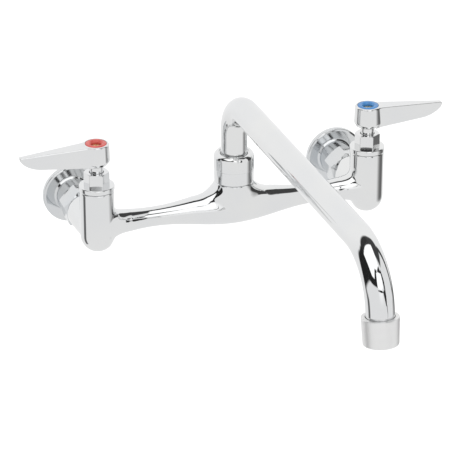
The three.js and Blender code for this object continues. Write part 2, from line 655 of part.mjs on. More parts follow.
// ---------------------------------------------------------------- nozzle
/** The nozzle's axis, from inside the nut to the outlet, in its own upright plane. */
function nozzleAxis() {
  const slope = rad(NOZZLE_SLOPE_DEG);
  const leave = Math.PI / 2 + slope;
  const finish = Math.PI - rad(END_TILT_DEG);
  const topEnd = { out: TOP_BEND_R * (1 - Math.cos(leave)), up: TOP_BEND_R * Math.sin(leave) };
  const spring = NOZZLE_RISE - Math.tan(slope) * topEnd.out - topEnd.up;
  const endSpan = END_BEND_R * (Math.cos(leave) - Math.cos(finish)) + END_STUB * Math.sin(finish);
  const run = (NOZZLE_REACH - topEnd.out - endSpan) / Math.sin(leave);
  const points = [[0, TUBE_FOOT], [0, (TUBE_FOOT + spring) / 2], [0, spring]];
  arc(points, TOP_BEND_R, 0, leave, 6);
  const pieces = 2;
  for (let i = 1; i <= pieces; i += 1) {
    const [out, up] = points[points.length - 1];
    points.push([out + (run / pieces) * Math.sin(leave), up + (run / pieces) * Math.cos(leave)]);
  }
  arc(points, END_BEND_R, leave, finish, 7);
  const [out, up] = points[points.length - 1];
  points.push([out + END_STUB * Math.sin(finish), up + END_STUB * Math.cos(finish)]);
  return points;
}

/** Carry a path on along an arc whose heading turns from one angle to another, 0 being straight up. */
function arc(points, radius, from, to, steps) {
  const [startOut, startUp] = points[points.length - 1];
  for (let i = 1; i <= steps; i += 1) {
    const angle = from + ((to - from) * i) / steps;
    points.push([
      startOut + radius * (Math.cos(from) - Math.cos(angle)),
      startUp + radius * (Math.sin(angle) - Math.sin(from)),
    ]);
  }
}

/** A round bar along the nozzle's axis, grown at both ends by a length. */
function nozzleBar(radius, extra, sides) {
  const axis = nozzleAxis();
  const rings = axis.map((place, k) => {
    const before = axis[Math.max(0, k - 1)];
    const after = axis[Math.min(axis.length - 1, k + 1)];
    const heading = Math.atan2(after[0] - before[0], after[1] - before[1]);
    const shift = k === 0 ? -extra : k === axis.length - 1 ? extra : 0;
    return barRing(place, heading, shift, radius, sides);
  });
  return loft(rings);
}

/** A ring of points across the nozzle's axis, which points out along -Y. */
function barRing([out, up], heading, shift, radius, sides) {
  const points = [];
  for (let j = 0; j < sides; j += 1) {
    const angle = (j / sides) * 2 * Math.PI;
    const across = radius * Math.cos(angle);
    const side = radius * Math.sin(angle);
    const forward = out + shift * Math.sin(heading) + across * Math.cos(heading);
    const high = up + shift * Math.cos(heading) - across * Math.sin(heading);
    points.push(new THREE.Vector3(side, -forward, high));
  }
  return points;
}

/** The bent tube. */
function tubeSolid() {
  return nozzleBar(TUBE_R, 0, NOZZLE_SIDES).subtract(nozzleBar(TUBE_BORE_R, 1, NOZZLE_SIDES));
}

/** The swivel sleeve brazed into the tube's foot, with its grooves. */
function sleeveSolid() {
  let solid = ring(SLEEVE_R - SLEEVE_WALL, SLEEVE_R, SLEEVE_BOTTOM, SLEEVE_TOP);
  const middle = RETAINER_Z + RETAINER_THICK / 2;
  solid = solid.subtract(sleeveGroove(RETAINER_GROOVE, middle, RETAINER_THICK + FIT));
  for (const drop of SLEEVE_ORING_DROPS) {
    const depth = 2 * SLEEVE_ORING_R - FIT / 2;
    solid = solid.subtract(sleeveGroove(depth, NECK_TOP - drop, 2 * (SLEEVE_ORING_R + SEAL_FIT)));
  }
  return solid;
}

/** The metal taken away by a groove round the sleeve. */
function sleeveGroove(depth, middle, width) {
  return ring(SLEEVE_R - depth, SLEEVE_R + 1, middle - width / 2, middle + width / 2);
}

/** One of the sleeve's O-rings. */
function sleeveRingSolid(drop) {
  const outer = NECK_BORE_R - SEAL_FIT;
  return oRing(outer - SLEEVE_ORING_R, SLEEVE_ORING_R, NECK_TOP - drop);
}

/** The split retaining ring in the sleeve's upper groove. */
function retainerSolid() {
  const inner = SLEEVE_R - RETAINER_GROOVE + FIT / 2;
  const top = RETAINER_Z + RETAINER_THICK;
  const gapHalf = RETAINER_GAP / 2;
  const gap = box([0, -gapHalf, RETAINER_Z - 1], [RETAINER_R + 1, gapHalf, top + 1]);
  return ring(inner, RETAINER_R, RETAINER_Z, top).subtract(gap);
}

/** The slip washer between the retaining ring and the nut. */
function washerSolid() {
  return ring(TUBE_R + FIT, RETAINER_R, WASHER_Z, WASHER_Z + WASHER_THICK);
}

/** The round two-step nut that holds the nozzle down. */
function nutSolid() {
  const bore = NECK_R + FIT;
  const profile = [
    [bore, NUT_BOTTOM], [NUT_LOWER_R, NUT_BOTTOM], [NUT_LOWER_R, NUT_STEP],
    [NUT_R, NUT_STEP + (NUT_R - NUT_LOWER_R)],
  ];
  const steps = 4;
  for (let i = 0; i <= steps; i += 1) {
    const angle = (i / steps) * (Math.PI / 2);
    profile.push([
      NUT_LIP_R + (NUT_R - NUT_LIP_R) * Math.cos(angle),
      NUT_SHOULDER + (NUT_TOP - NUT_SHOULDER) * Math.sin(angle),
    ]);
  }
  const recessR = NUT_LIP_R - NUT_RECESS;
  profile.push(
    [recessR, NUT_TOP], [recessR, NUT_TOP - NUT_RECESS], [TUBE_R + FIT, NUT_TOP - NUT_RECESS],
    [TUBE_R + FIT, NUT_WEB_Z], [bore, NUT_WEB_Z], [bore, NUT_BOTTOM],
  );
  return turned(profile);
}

// ---------------------------------------------------------------- outlet
/** Put a solid made with +Z pointing out of the outlet, zero at the tube's end, onto the nozzle. */
function atOutlet(solid) {
  const axis = nozzleAxis();
  const [out, up] = axis[axis.length - 1];
  return solid.rotate([180 - END_TILT_DEG, 0, 0]).translate([0, -out, up]);
}

/** The housing round the tube's end, with a ledge that carries the inserts. */
function outletSolid() {
  const low = -OUTLET_LIP;
  const outer = turned([
    [0, low], [OUTLET_R - 0.4, low], [OUTLET_R, low + 0.4], [OUTLET_R, 0.6],
    [OUTLET_TIP_R, OUTLET_HEIGHT - 0.8], [OUTLET_TIP_R - 0.8, OUTLET_HEIGHT], [0, OUTLET_HEIGHT],
  ]);
  const bore = plug(TUBE_R + FIT, low - 1, OUTLET_HEIGHT - OUTLET_LEDGE);
  const mouth = plug(OUTLET_MOUTH_R, 0, OUTLET_HEIGHT + 1);
  return outer.subtract(bore).subtract(mouth);
}

/** A stacked insert of the outlet, from this far below the tube's end. */
function insertSolid(low, thick) {
  return plug(TUBE_R, low, low + thick);
}

/** The nozzle's inserts, from the tube's end down: washer, flow disc, screen. */
function outletInserts() {
  const screenLow = OUTLET_HEIGHT - OUTLET_LEDGE - SCREEN_THICK;
  const flowLow = screenLow - FLOW_DISC_THICK;
  let flow = insertSolid(flowLow, FLOW_DISC_THICK);
  let screen = insertSolid(screenLow, SCREEN_THICK);
  for (let i = 0; i < FLOW_HOLES; i += 1) {
    const angle = (i / FLOW_HOLES) * 2 * Math.PI;
    const place = [OUTLET_MOUTH_R * 0.6 * Math.cos(angle), OUTLET_MOUTH_R * 0.6 * Math.sin(angle), 0];
    const hole = plug(FLOW_HOLE_R, -1, OUTLET_HEIGHT, 8).translate(place);
    flow = flow.subtract(hole);
    screen = screen.subtract(hole);
  }
  const washer = ring(TUBE_BORE_R - 1, TUBE_R, FIT, flowLow);
  return { washer, flow, screen };
}

// ---------------------------------------------------------------- the whole faucet
const faucet = new THREE.Group();
faucet.name = 'wall_faucet';

/** Add every piece of one side's inlet and valve. */
function addSide(name, side, indexMaterial, restDeg, couplingTurn, bonnetTurn) {
  const fixed = (label, solid, material) => faucet.add(part(`${name}_${label}`, solid, material));
  fixed('wall_inlet', inletAt(side, inletSolid()), chrome);
  fixed('union_tail', inletAt(side, tailSolid()), brass);
  fixed('coupling_nut', inletAt(side, couplingSolid().rotate([0, 0, couplingTurn])), chrome);
  fixed('inlet_gasket', inletAt(side, gasketSolid()), rubber);
  fixed('bonnet', onSide(side, bonnetSolid().rotate([0, 0, bonnetTurn])), chrome);
  fixed('bonnet_oring', onSide(side, bonnetRingSolid()), rubber);
  fixed('lower_disc', onSide(side, lowerDiscSolid()), ceramic);
  fixed('seat_seal', onSide(side, seatSealSolid()), rubber);
  const turning = new THREE.Group();
  turning.position.set(side * HALF, -STANDOFF, 0);
  turning.rotation.z = rad(restDeg);
  turning.add(
    part(`${name}_valve_stem`, stemSolid(), chrome),
    part(`${name}_stem_oring`, stemRingSolid(), rubber),
    part(`${name}_upper_disc`, upperDiscSolid(), ceramic),
    part(`${name}_lever_handle`, handleSolid(), chrome),
    part(`${name}_index_disc`, indexSolid(), indexMaterial),
    part(`${name}_handle_screw`, handleScrewSolid(), brass),
  );
  faucet.add(turning);
}

/** Add the nozzle and its outlet, swung to its resting place. */
function addNozzle() {
  const nozzle = new THREE.Group();
  nozzle.position.set(0, -STANDOFF, 0);
  nozzle.rotation.z = rad(NOZZLE_REST_DEG);
  const { washer, flow, screen } = outletInserts();
  nozzle.add(
    part('nozzle_tube', tubeSolid(), chrome),
    part('nozzle_sleeve', sleeveSolid(), brass),
    part('nozzle_lower_oring', sleeveRingSolid(SLEEVE_ORING_DROPS[1]), rubber),
    part('nozzle_upper_oring', sleeveRingSolid(SLEEVE_ORING_DROPS[0]), rubber),
    part('nozzle_retaining_ring', retainerSolid(), steel),
    part('outlet_housing', atOutlet(outletSolid()), satin),
    part('outlet_washer', atOutlet(washer), rubber),
    part('outlet_flow_disc', atOutlet(flow), nylon),
    part('outlet_screen', atOutlet(screen), steel),
  );
  faucet.add(nozzle);
}

faucet.add(part('faucet_body', bodySolid(), chrome));
addSide('hot', -1, red, HOT_REST_DEG, HOT_COUPLING_TURN, HOT_BONNET_TURN);
addSide('cold', 1, blue, COLD_REST_DEG, COLD_COUPLING_TURN, COLD_BONNET_TURN);
faucet.add(part('nozzle_nut', nutSolid().translate([0, -STANDOFF, 0]), chrome));
faucet.add(part('nozzle_slip_washer', washerSolid().translate([0, -STANDOFF, 0]), nylon));
addNozzle();

export default faucet;
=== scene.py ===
"""The commercial wall faucet, dressed.

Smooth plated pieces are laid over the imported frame, every part gets its finish, and a pale
studio and the camera are set up. Sizes are in millimetres until MM turns them into metres.
The plane of the valve axes lies STANDOFF in front of the wall, and HALF is half the centres.
BODY_SPOT and BEND_SPOT are the middles of the body and of the end bend, seen from above.
"""
import json
import logging
import math
from dataclasses import dataclass
from enum import Enum

import bpy
from mathutils import Matrix, Vector


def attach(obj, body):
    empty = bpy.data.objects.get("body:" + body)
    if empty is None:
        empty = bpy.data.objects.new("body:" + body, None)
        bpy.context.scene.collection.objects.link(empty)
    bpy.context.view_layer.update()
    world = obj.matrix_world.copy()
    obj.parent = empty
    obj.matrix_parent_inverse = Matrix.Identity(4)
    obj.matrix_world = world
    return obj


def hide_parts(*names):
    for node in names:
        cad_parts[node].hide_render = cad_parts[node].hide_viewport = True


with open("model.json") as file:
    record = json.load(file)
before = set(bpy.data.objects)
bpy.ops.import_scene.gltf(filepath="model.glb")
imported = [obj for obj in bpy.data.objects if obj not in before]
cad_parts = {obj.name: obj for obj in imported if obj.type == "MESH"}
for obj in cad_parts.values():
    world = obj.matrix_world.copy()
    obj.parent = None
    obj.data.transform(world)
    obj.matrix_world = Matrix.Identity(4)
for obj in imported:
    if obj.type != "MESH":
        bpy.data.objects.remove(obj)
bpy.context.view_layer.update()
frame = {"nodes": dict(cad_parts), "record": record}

MM = 0.001
HALF = 101.6
STANDOFF = 66.5

BODY_SPOT = Vector((0.0, -STANDOFF, 0.0))
BEND_SPOT = Vector((15.0, -312.0, 0.0))

Piece = bpy.types.Object
Corner = tuple[float, ...]
log = logging.getLogger("wall_faucet")


class Side(Enum):
    """The two sides of the faucet, each with its name, place and turns."""

    HOT = ("hot", -HALF, 180.6, -15.0, 11.0)
    COLD = ("cold", HALF, -4.4, -11.0, 5.0)

    def __init__(
        self, label: str, x: float, lever_turn: float, coupling_turn: float, bonnet_turn: float
    ) -> None:
        """Keep what differs between the sides.

        Args:
            label: what its nodes' and its handle's names start with.
            x: where its valve axis stands, in millimetres.
            lever_turn: the heading of the closed lever, in degrees from +X.
            coupling_turn: how far its coupling nut is screwed round, in degrees.
            bonnet_turn: how far its bonnet is screwed round, in degrees.
        """
        self.label = label
        self.x = x
        self.lever_turn = lever_turn
        self.coupling_turn = coupling_turn
        self.bonnet_turn = bonnet_turn

    def node(self, label: str) -> str:
        """The full name of one of this side's nodes, pieces or bodies."""
        return f"{self.label}_{label}"


# ------------------------------------------------------------------ the bench
def rounded(corners: list[Corner], arc_deg: float = 14.0) -> list[tuple[float, float]]:
    """Round the corners of a turned profile.

    Args:
        corners: (radius, height) or (radius, height, fillet) rows, in millimetres.
        arc_deg: the largest turn between two points of a fillet.

    Returns:
        The profile's points, each fillet as an arc that starts and ends on the flats.
    """
    points: list[tuple[float, float]] = []
    for i, corner in enumerate(corners):
        place = Vector(corner[:2])
        fillet = corner[2] if len(corner) > 2 else 0.0
        if fillet <= 0 or i in (0, len(corners) - 1):
            points.append((place.x, place.y))
            continue
        back = Vector(corners[i - 1][:2]) - place
        on = Vector(corners[i + 1][:2]) - place
        half = back.angle(on) / 2
        run = min(fillet / math.tan(half), 0.49 * back.length, 0.49 * on.length)
        radius = run * math.tan(half)
        back.normalize()
        on.normalize()
        centre = place + (back + on).normalized() * (radius / math.sin(half))
        spoke_a = place + back * run - centre
        spoke_b = place + on * run - centre
        sweep = math.pi - 2 * half
        steps = max(2, math.ceil(math.degrees(sweep) / arc_deg))
        for k in range(steps + 1):
            share = k / steps
            ahead = math.sin(share * sweep) / math.sin(sweep)
            behind = math.sin((1 - share) * sweep) / math.sin(sweep)
            spot = centre + spoke_a * behind + spoke_b * ahead
            points.append((spot.x, spot.y))
    return points


class Bench:
    """The workbench: the operator steps that every piece is made with."""

    @staticmethod
    def rest() -> None:
        """Leave edit mode and put every piece down."""
        if bpy.context.mode != "OBJECT":
            bpy.ops.object.mode_set(mode="OBJECT")
        bpy.ops.object.select_all(action="DESELECT")

    @staticmethod
    def hold(*pieces: Piece) -> Piece:
        """Take pieces in hand, the first one as the active piece.

        Args:
            pieces: the pieces to select.

        Returns:
            The first piece.
        """
        Bench.rest()
        for piece in pieces:
            piece.select_set(True)
        bpy.context.view_layer.objects.active = pieces[0]
        return pieces[0]

    @staticmethod
    def chain(points: list[tuple[float, float, float]]) -> Piece:
        """Draw a row of edges through points and stay in edit mode.

        Args:
            points: the places of the row, in millimetres.

        Returns:
            The piece that holds the row, all of it selected.
        """
        Bench.rest()
        bpy.ops.mesh.primitive_plane_add(size=MM, location=(0, 0, 0))
        piece = bpy.context.object
        bpy.ops.object.mode_set(mode="EDIT")
        bpy.ops.mesh.select_mode(type="VERT")
        bpy.ops.mesh.select_all(action="SELECT")
        bpy.ops.mesh.merge(type="CENTER")
        spots = [Vector(point) * MM for point in points]
        bpy.ops.transform.translate(value=spots[0])
        for here, there in zip(spots, spots[1:]):
            bpy.ops.mesh.extrude_vertices_move(TRANSFORM_OT_translate={"value": there - here})
        bpy.ops.mesh.select_all(action="SELECT")
        return piece

    @staticmethod
    def spun(profile: list[tuple[float, float]], steps: int = 128) -> Piece:
        """Turn a profile about +Z into a closed piece.

        Args:
            profile: (radius, height) points that start and end on the axis or meet.
            steps: how many steps go round.

        Returns:
            The turned piece, its faces outwards.
        """
        piece = Bench.chain([(radius, 0.0, height) for radius, height in profile])
        bpy.ops.mesh.spin(
            steps=steps, angle=2 * math.pi, center=(0, 0, 0), axis=(0, 0, 1), use_auto_merge=True
        )
        Bench.seal()
        Bench.rest()
        return piece

    @staticmethod
    def seal() -> None:
        """Merge the doubles of the mesh in edit mode and turn its faces outwards."""
        bpy.ops.mesh.select_all(action="SELECT")
        bpy.ops.mesh.remove_doubles(threshold=1e-6)
        bpy.ops.mesh.select_all(action="SELECT")
        bpy.ops.mesh.normals_make_consistent(inside=False)

    @staticmethod
    def modify(piece: Piece, kind: str, **settings: object) -> Piece:
        """Add one modifier, set it and apply it.

        Args:
            piece: the piece to change.
            kind: the modifier's type.
            settings: its settings by name.

        Returns:
            The changed piece.
        """
        Bench.hold(piece)
        bpy.ops.object.modifier_add(type=kind)
        modifier = piece.modifiers[-1]
        for name, value in settings.items():
            setattr(modifier, name, value)
        bpy.ops.object.modifier_apply(modifier=modifier.name)
        return piece

    @staticmethod
    def combine(piece: Piece, tool: Piece, operation: str) -> Piece:
        """Join, cut or trim a piece by another, which is used up.

        Args:
            piece: the piece that stays.
            tool: the piece that is used up.
            operation: UNION, DIFFERENCE or INTERSECT.

        Returns:
            The piece that stays.
        """
        Bench.modify(piece, "BOOLEAN", operation=operation, solver="EXACT", object=tool)
        bpy.data.objects.remove(tool, do_unlink=True)
        return piece

    @staticmethod
    def join(pieces: list[Piece]) -> Piece:
        """Make one mesh of several pieces.

        Args:
            pieces: the pieces; the first one stays.

        Returns:
            The joined piece.
        """
        Bench.hold(*pieces)
        bpy.ops.object.join()
        return pieces[0]

    @staticmethod
    def place(piece: Piece, turn: Corner = (0, 0, 0), at: Corner = (0, 0, 0)) -> Piece:
        """Turn a piece about the axes, then move it, and keep both in its mesh.

        Args:
            piece: the piece to place.
            turn: its turns about X, Y and Z, in degrees.
            at: where its zero goes, in millimetres.

        Returns:
            The placed piece.
        """
        Bench.hold(piece)
        piece.rotation_mode = "XYZ"
        piece.rotation_euler = [math.radians(angle) for angle in turn]
        piece.location = Vector(at) * MM
        bpy.ops.object.transform_apply(location=True, rotation=True, scale=True)
        return piece

    @staticmethod
    def select_edges(piece: Piece, wanted) -> None:
        """Go into edit mode with the edges selected whose ends pass a test.

        Args:
            piece: the piece to work on.
            wanted: a test of an edge's two ends, given in millimetres.
        """
        Bench.hold(piece)
        bpy.ops.object.mode_set(mode="EDIT")
        bpy.ops.mesh.select_mode(type="EDGE")
        bpy.ops.mesh.select_all(action="DESELECT")
        bpy.ops.object.mode_set(mode="OBJECT")
        mesh = piece.data
        for edge in mesh.edges:
            ends = [mesh.vertices[index].co / MM for index in edge.vertices]
            edge.select = bool(wanted(*ends))
        bpy.ops.object.mode_set(mode="EDIT")

    @staticmethod
    def hexagon(flats: float, low: float, high: float, edge: float) -> Piece:
        """A hexagonal bar along +Z with softened corners, two flats square to X.

        Args:
            flats: the width across the flats.
            low: where the bar starts.
            high: where it ends.
            edge: the softening of its long corners.

        Returns:
            The bar.
        """
        Bench.rest()
        bpy.ops.mesh.primitive_cylinder_add(
            vertices=6,
            radius=flats / math.sqrt(3) * MM,
            depth=(high - low) * MM,
            location=(0, 0, (low + high) / 2 * MM),
        )
        piece = Bench.fresh()
        Bench.select_edges(piece, lambda a, b: abs(a.z - b.z) > 1)
        bpy.ops.mesh.bevel(offset=edge * MM, segments=5, affect="EDGES")
        Bench.rest()
        return piece

    @staticmethod
    def fresh() -> Piece:
        """Take the primitive just added, with its place kept in its mesh."""
        bpy.ops.object.transform_apply(location=True, rotation=True, scale=True)
        return bpy.context.object

    @staticmethod
    def edit(piece: Piece, kind: str) -> None:
        """Go into edit mode with all of a piece selected, by VERT, EDGE or FACE."""
        Bench.hold(piece)
        bpy.ops.object.mode_set(mode="EDIT")
        bpy.ops.mesh.select_mode(type=kind)
        bpy.ops.mesh.select_all(action="SELECT")

    @staticmethod
    def smooth(piece: Piece, sharp_deg: float) -> None:
        """Shade a piece smooth, with the edges that turn more than an angle kept crisp."""
        Bench.hold(piece)
        bpy.ops.object.shade_smooth_by_angle(angle=math.radians(sharp_deg))

    @staticmethod
    def machined(piece: Piece, sharp_deg: float) -> Piece:
        """Shade a machined piece: flats stay flat and corners stay crisp.

        Args:
            piece: the piece to shade.
            sharp_deg: edges that turn more than this stay crisp.

        Returns:
            The shaded piece.
        """
        Bench.smooth(piece, sharp_deg)
        return Bench.modify(piece, "WEIGHTED_NORMAL", mode="FACE_AREA", weight=80, keep_sharp=True)

    @staticmethod
    def cast(piece: Piece, grain: float) -> Piece:
        """Fuse overlapping closed bodies into one skin, its points grain millimetres apart."""
        size = grain * MM
        return Bench.modify(piece, "REMESH", mode="VOXEL", voxel_size=size, use_smooth_shade=True)

    @staticmethod
    def polish(piece: Piece, rounds: int, weight=None) -> Piece:
        """Polish a skin, all over or more in some places than in others.

        Args:
            piece: the piece to polish.
            rounds: how many rounds of smoothing.
            weight: gives the share of polishing, 0 to 1, from a place in millimetres.

        Returns:
            The polished piece.
        """
        settings: dict[str, object] = {"factor": 0.5, "iterations": rounds}
        if weight is not None:
            Bench.hold(piece)
            group = piece.vertex_groups.new(name="polish")
            shares: dict[float, list[int]] = {}
            for vertex in piece.data.vertices:
                share = round(max(0.0, min(1.0, weight(vertex.co / MM))) * 20) / 20
                shares.setdefault(share, []).append(vertex.index)
            for share, indices in shares.items():
                group.add(indices, share, "REPLACE")
            settings["vertex_group"] = group.name
        Bench.modify(piece, "SMOOTH", **settings)
        piece.vertex_groups.clear()
        return piece

    @staticmethod
    def finish(
        piece: Piece, name: str, finish: "Finish", *nodes: str, side: Side | None = None,
        body: str = "faucet", slot: str = "polished_chrome",
    ) -> Piece:
        """Name and dress a piece, fix it to its body and let it stand for CAD nodes.

        Args:
            piece: the finished mesh.
            name: the piece's name.
            finish: what it is dressed in.
            nodes: the CAD nodes it stands for.
            side: the side whose name goes before the piece's and the nodes'.
            body: the body it moves with.
            slot: the record's material slot; not used.

        Returns:
            The piece.
        """
        if side:
            name, nodes = side.node(name), tuple(side.node(node) for node in nodes)
        piece.name = piece.data.name = name
        piece.data.materials.clear()
        piece.data.materials.append(finish.material)
        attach(piece, body)
        if nodes:
            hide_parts(*nodes)
        log.info("%s: %d faces, rides on %s", name, len(piece.data.polygons), body)
        return piece


# ------------------------------------------------------------------ shader maths
class Wire:
    """A value in a node tree that is worked with like a number."""

    def __init__(self, recipe: "Recipe", socket: bpy.types.NodeSocket) -> None:
        """Hold a socket and the recipe it belongs to."""
        self.recipe = recipe
        self.socket = socket

    def _math(self, operation: str, *values: object) -> "Wire":
        """Add a Math node on these values."""
        inputs = dict(enumerate(values))
        return self.recipe.node("ShaderNodeMath", {"operation": operation}, inputs).out()

    def __add__(self, other: object) -> "Wire":
        """Add."""
        return self._math("ADD", self, other)

    __radd__ = __add__

    def __sub__(self, other: object) -> "Wire":
        """Take away."""
        return self._math("SUBTRACT", self, other)

    def __rsub__(self, other: object) -> "Wire":
        """Take this away from a number."""
        return self._math("SUBTRACT", other, self)

    def __mul__(self, other: object) -> "Wire":
        """Multiply."""
        return self._math("MULTIPLY", self, other)

    __rmul__ = __mul__

    def step(self, start: float, end: float) -> "Wire":
        """A smooth step from 0 at the start to 1 at the end.

        Args:
            start: where it leaves 0.
            end: where it reaches 1.

        Returns:
            The stepped value.
        """
        settings = {"interpolation_type": "SMOOTHSTEP"}
        inputs = {"Value": self, "From Min": start, "From Max": end, "To Min": 0.0, "To Max": 1.0}
        return self.recipe.node("ShaderNodeMapRange", settings, inputs).out("Result")


class Made:
    """A node that was just added."""

    def __init__(self, recipe: "Recipe", node: bpy.types.Node) -> None:
        """Hold the node and its recipe."""
        self.recipe = recipe
        self.node = node

    def out(self, name: str | int = 0) -> Wire:
        """One of the node's outputs."""
        return Wire(self.recipe, self.node.outputs[name])


class Recipe:
    """A node tree being written."""

    def __init__(self, tree: bpy.types.NodeTree) -> None:
        """Start on a tree that is emptied first."""
        self.tree = tree
        tree.nodes.clear()

    def node(
        self, kind: str, settings: dict[str, object] | None = None, inputs: dict | None = None
    ) -> Made:
        """Add a node, set it up and connect it.

        Args:
            kind: the node's type.
            settings: what is set on the node itself, which is done first.
            inputs: values or wires for its sockets, by name or number.

        Returns:
            The node.
        """
        node = self.tree.nodes.new(kind)
        for name, value in (settings or {}).items():
            if name == "stops":
                self._stops(node.color_ramp, value)
            else:
                setattr(node, name, value)
        for name, value in (inputs or {}).items():
            if isinstance(value, Wire):
                self.tree.links.new(value.socket, node.inputs[name])
            else:
                node.inputs[name].default_value = value
        return Made(self, node)

    @staticmethod
    def _stops(ramp: bpy.types.ColorRamp, stops: list) -> None:
        """Set a colour ramp's stops from (place, colour) rows."""
        while len(ramp.elements) > 1:
            ramp.elements.remove(ramp.elements[-1])
        ramp.elements[0].position, ramp.elements[0].color = stops[0]
        for place, colour in stops[1:]:
            ramp.elements.new(place).color = colour

    def place(self) -> Wire:
        """Where a point lies on the piece, in metres."""
        return self.node("ShaderNodeTexCoord").out("Object")

    def mapped(self, centre: tuple, scale: tuple, turn: tuple = (0.0, 0.0, 0.0)) -> Wire:
        """Object coordinates moved to a centre in millimetres, then turned and scaled.

        Args:
            centre: the pattern's centre, in millimetres.
            scale: its scale along each axis.
            turn: its turns, in degrees.

        Returns:
            The mapped coordinates.
        """
        inputs = {
            "Vector": self.place(),
            "Location": Vector(centre) * MM,
            "Rotation": [math.radians(angle) for angle in turn],
            "Scale": scale,
        }
        return self.node("ShaderNodeMapping", {"vector_type": "TEXTURE"}, inputs).out()

    def noise(self, scale: float, detail: float = 3.0, at: Wire | None = None) -> Wire:
        """Noise round a half, scale features to a metre, on the piece unless told where."""
        inputs = {"Vector": at or self.place(), "Scale": scale, "Detail": detail}
        return self.node("ShaderNodeTexNoise", {}, inputs).out(0)

    def blend(self, share: object, first: object, second: object) -> Wire:
        """Mix two colours.

        Args:
            share: the second colour's share.
            first: the first colour.
            second: the second colour.

        Returns:
            The mixed colour.
        """
        made = self.node("ShaderNodeMix", {"data_type": "RGBA"})
        sockets = {s.identifier: s for s in made.node.inputs}
        for key, value in (("Factor_Float", share), ("A_Color", first), ("B_Color", second)):
            if isinstance(value, Wire):
                self.tree.links.new(value.socket, sockets[key])
            else:
                sockets[key].default_value = value
        out = next(s for s in made.node.outputs if s.identifier == "Result_Color")
        return Wire(self, out)

    def bump(self, height: Wire, distance_mm: float, strength: float = 1.0) -> Wire:
        """Normals from a height whose 1 measures distance_mm."""
        inputs = {"Height": height, "Distance": distance_mm * MM, "Strength": strength}
        return self.node("ShaderNodeBump", {}, inputs).out()


# ------------------------------------------------------------------ finishes
def grey(level: float, tint: tuple[float, float, float] = (0.0, 0.0, 0.0)) -> tuple:
    """A grey with a tint added to its red, green and blue, and an alpha of 1."""
    return tuple(level + part for part in tint) + (1.0,)


def new_material(name: str) -> tuple[bpy.types.Material, Recipe]:
    """Start a material.

    Args:
        name: its name.

    Returns:
        The material and its emptied node tree.
    """
    material = bpy.data.materials.new(name)
    material.use_nodes = True
    return material, Recipe(material.node_tree)


@dataclass(frozen=True)
class Finish:
    """A finish; each kind says what goes into its shader."""

    name: str

    @property
    def material(self) -> bpy.types.Material:
        """The finish's material, made the first time it is asked for."""
        found = bpy.data.materials.get(self.name)
        if found is not None:
            return found
        material, recipe = new_material(self.name)
        shader = recipe.node("ShaderNodeBsdfPrincipled", {}, self.inputs(recipe)).out()
        recipe.node("ShaderNodeOutputMaterial", {}, {"Surface": shader})
        return material

    def inputs(self, recipe: Recipe) -> dict[str, object]:
        """Write the finish's nodes.

        Args:
            recipe: the tree to write in.

        Returns:
            What goes into the shader, by socket.
        """
        raise NotImplementedError


@dataclass(frozen=True)
class Chrome(Finish):
    """Polished chrome plate: a faint cool drift of colour, haze, and the waviness of buffing."""

    level: float = 0.79
    cool: float = 0.008
    haze: float = 0.035
    wave_mm: float = 0.012
    wave_scale: float = 55.0

    def inputs(self, recipe: Recipe) -> dict[str, object]:
        """Write the plate's nodes."""
        drift = recipe.noise(26.0, 2.0)
        colour = recipe.blend(
            drift.step(0.3, 0.7),
            grey(self.level, (-self.cool, 0.0, self.cool)),
            grey(self.level + 0.02, (-self.cool / 2, 0.0, self.cool / 2 - 0.006)),
        )
        smears = recipe.noise(140.0, 4.0).step(0.35, 0.8)
        swirl = recipe.noise(900.0, 2.0)
        roughness = smears * 0.02 + swirl * 0.012 + self.haze
        waves = recipe.noise(self.wave_scale, 1.0)
        return {
            "Base Color": colour,
            "Metallic": 1.0,
            "Roughness": roughness,
            "Normal": recipe.bump(waves, self.wave_mm),
        }


@dataclass(frozen=True)
class SatinChrome(Finish):
    """Satin plate, with fine turning lines round a leaning axis."""

    level: float = 0.72
    line_scale: float = 1500.0
    centre: tuple = (0.0, 0.0, 0.0)
    turn: tuple = (0.0, 0.0, 0.0)

    def inputs(self, recipe: Recipe) -> dict[str, object]:
        """Write the satin plate's nodes."""
        along = recipe.mapped(self.centre, (25.0, 25.0, 1.0), self.turn)
        lines = recipe.noise(self.line_scale, 3.0, along)
        cloud = recipe.noise(90.0, 3.0)
        colour = recipe.blend(cloud, grey(self.level), grey(self.level + 0.05, (0.0, 0.0, -0.004)))
        return {
            "Base Color": colour,
            "Metallic": 1.0,
            "Roughness": lines * 0.12 + cloud * 0.08 + 0.33,
            "Normal": recipe.bump(lines, 0.006, 0.6),
        }


@dataclass(frozen=True)
class Metal(Finish):
    """Bare metal with a stain that drifts and fine machining marks."""

    light: tuple = (0.8, 0.62, 0.3, 1.0)
    dark: tuple = (0.66, 0.47, 0.2, 1.0)
    haze: float = 0.2

    def inputs(self, recipe: Recipe) -> dict[str, object]:
        """Write the metal's nodes."""
        stain = recipe.noise(150.0, 5.0)
        marks = recipe.noise(1800.0, 2.0, recipe.mapped((0, 0, 0), (12.0, 12.0, 1.0)))
        return {
            "Base Color": recipe.blend(stain.step(0.3, 0.7), self.light, self.dark),
            "Metallic": 1.0,
            "Roughness": stain * 0.15 + marks * 0.08 + self.haze,
            "Normal": recipe.bump(marks, 0.008, 0.5),
        }


@dataclass(frozen=True)
class Rubber(Finish):
    """Black sealing rubber, dull, with a fine grain and paler bloom."""

    def inputs(self, recipe: Recipe) -> dict[str, object]:
        """Write the rubber's nodes."""
        bloom = recipe.noise(220.0, 4.0)
        grain = recipe.noise(5200.0, 2.0)
        return {
            "Base Color": recipe.blend(bloom.step(0.4, 0.8), grey(0.012), grey(0.035)),
            "Roughness": grain * 0.2 + bloom * 0.15 + 0.5,
            "Normal": recipe.bump(grain, 0.03, 0.5),
        }


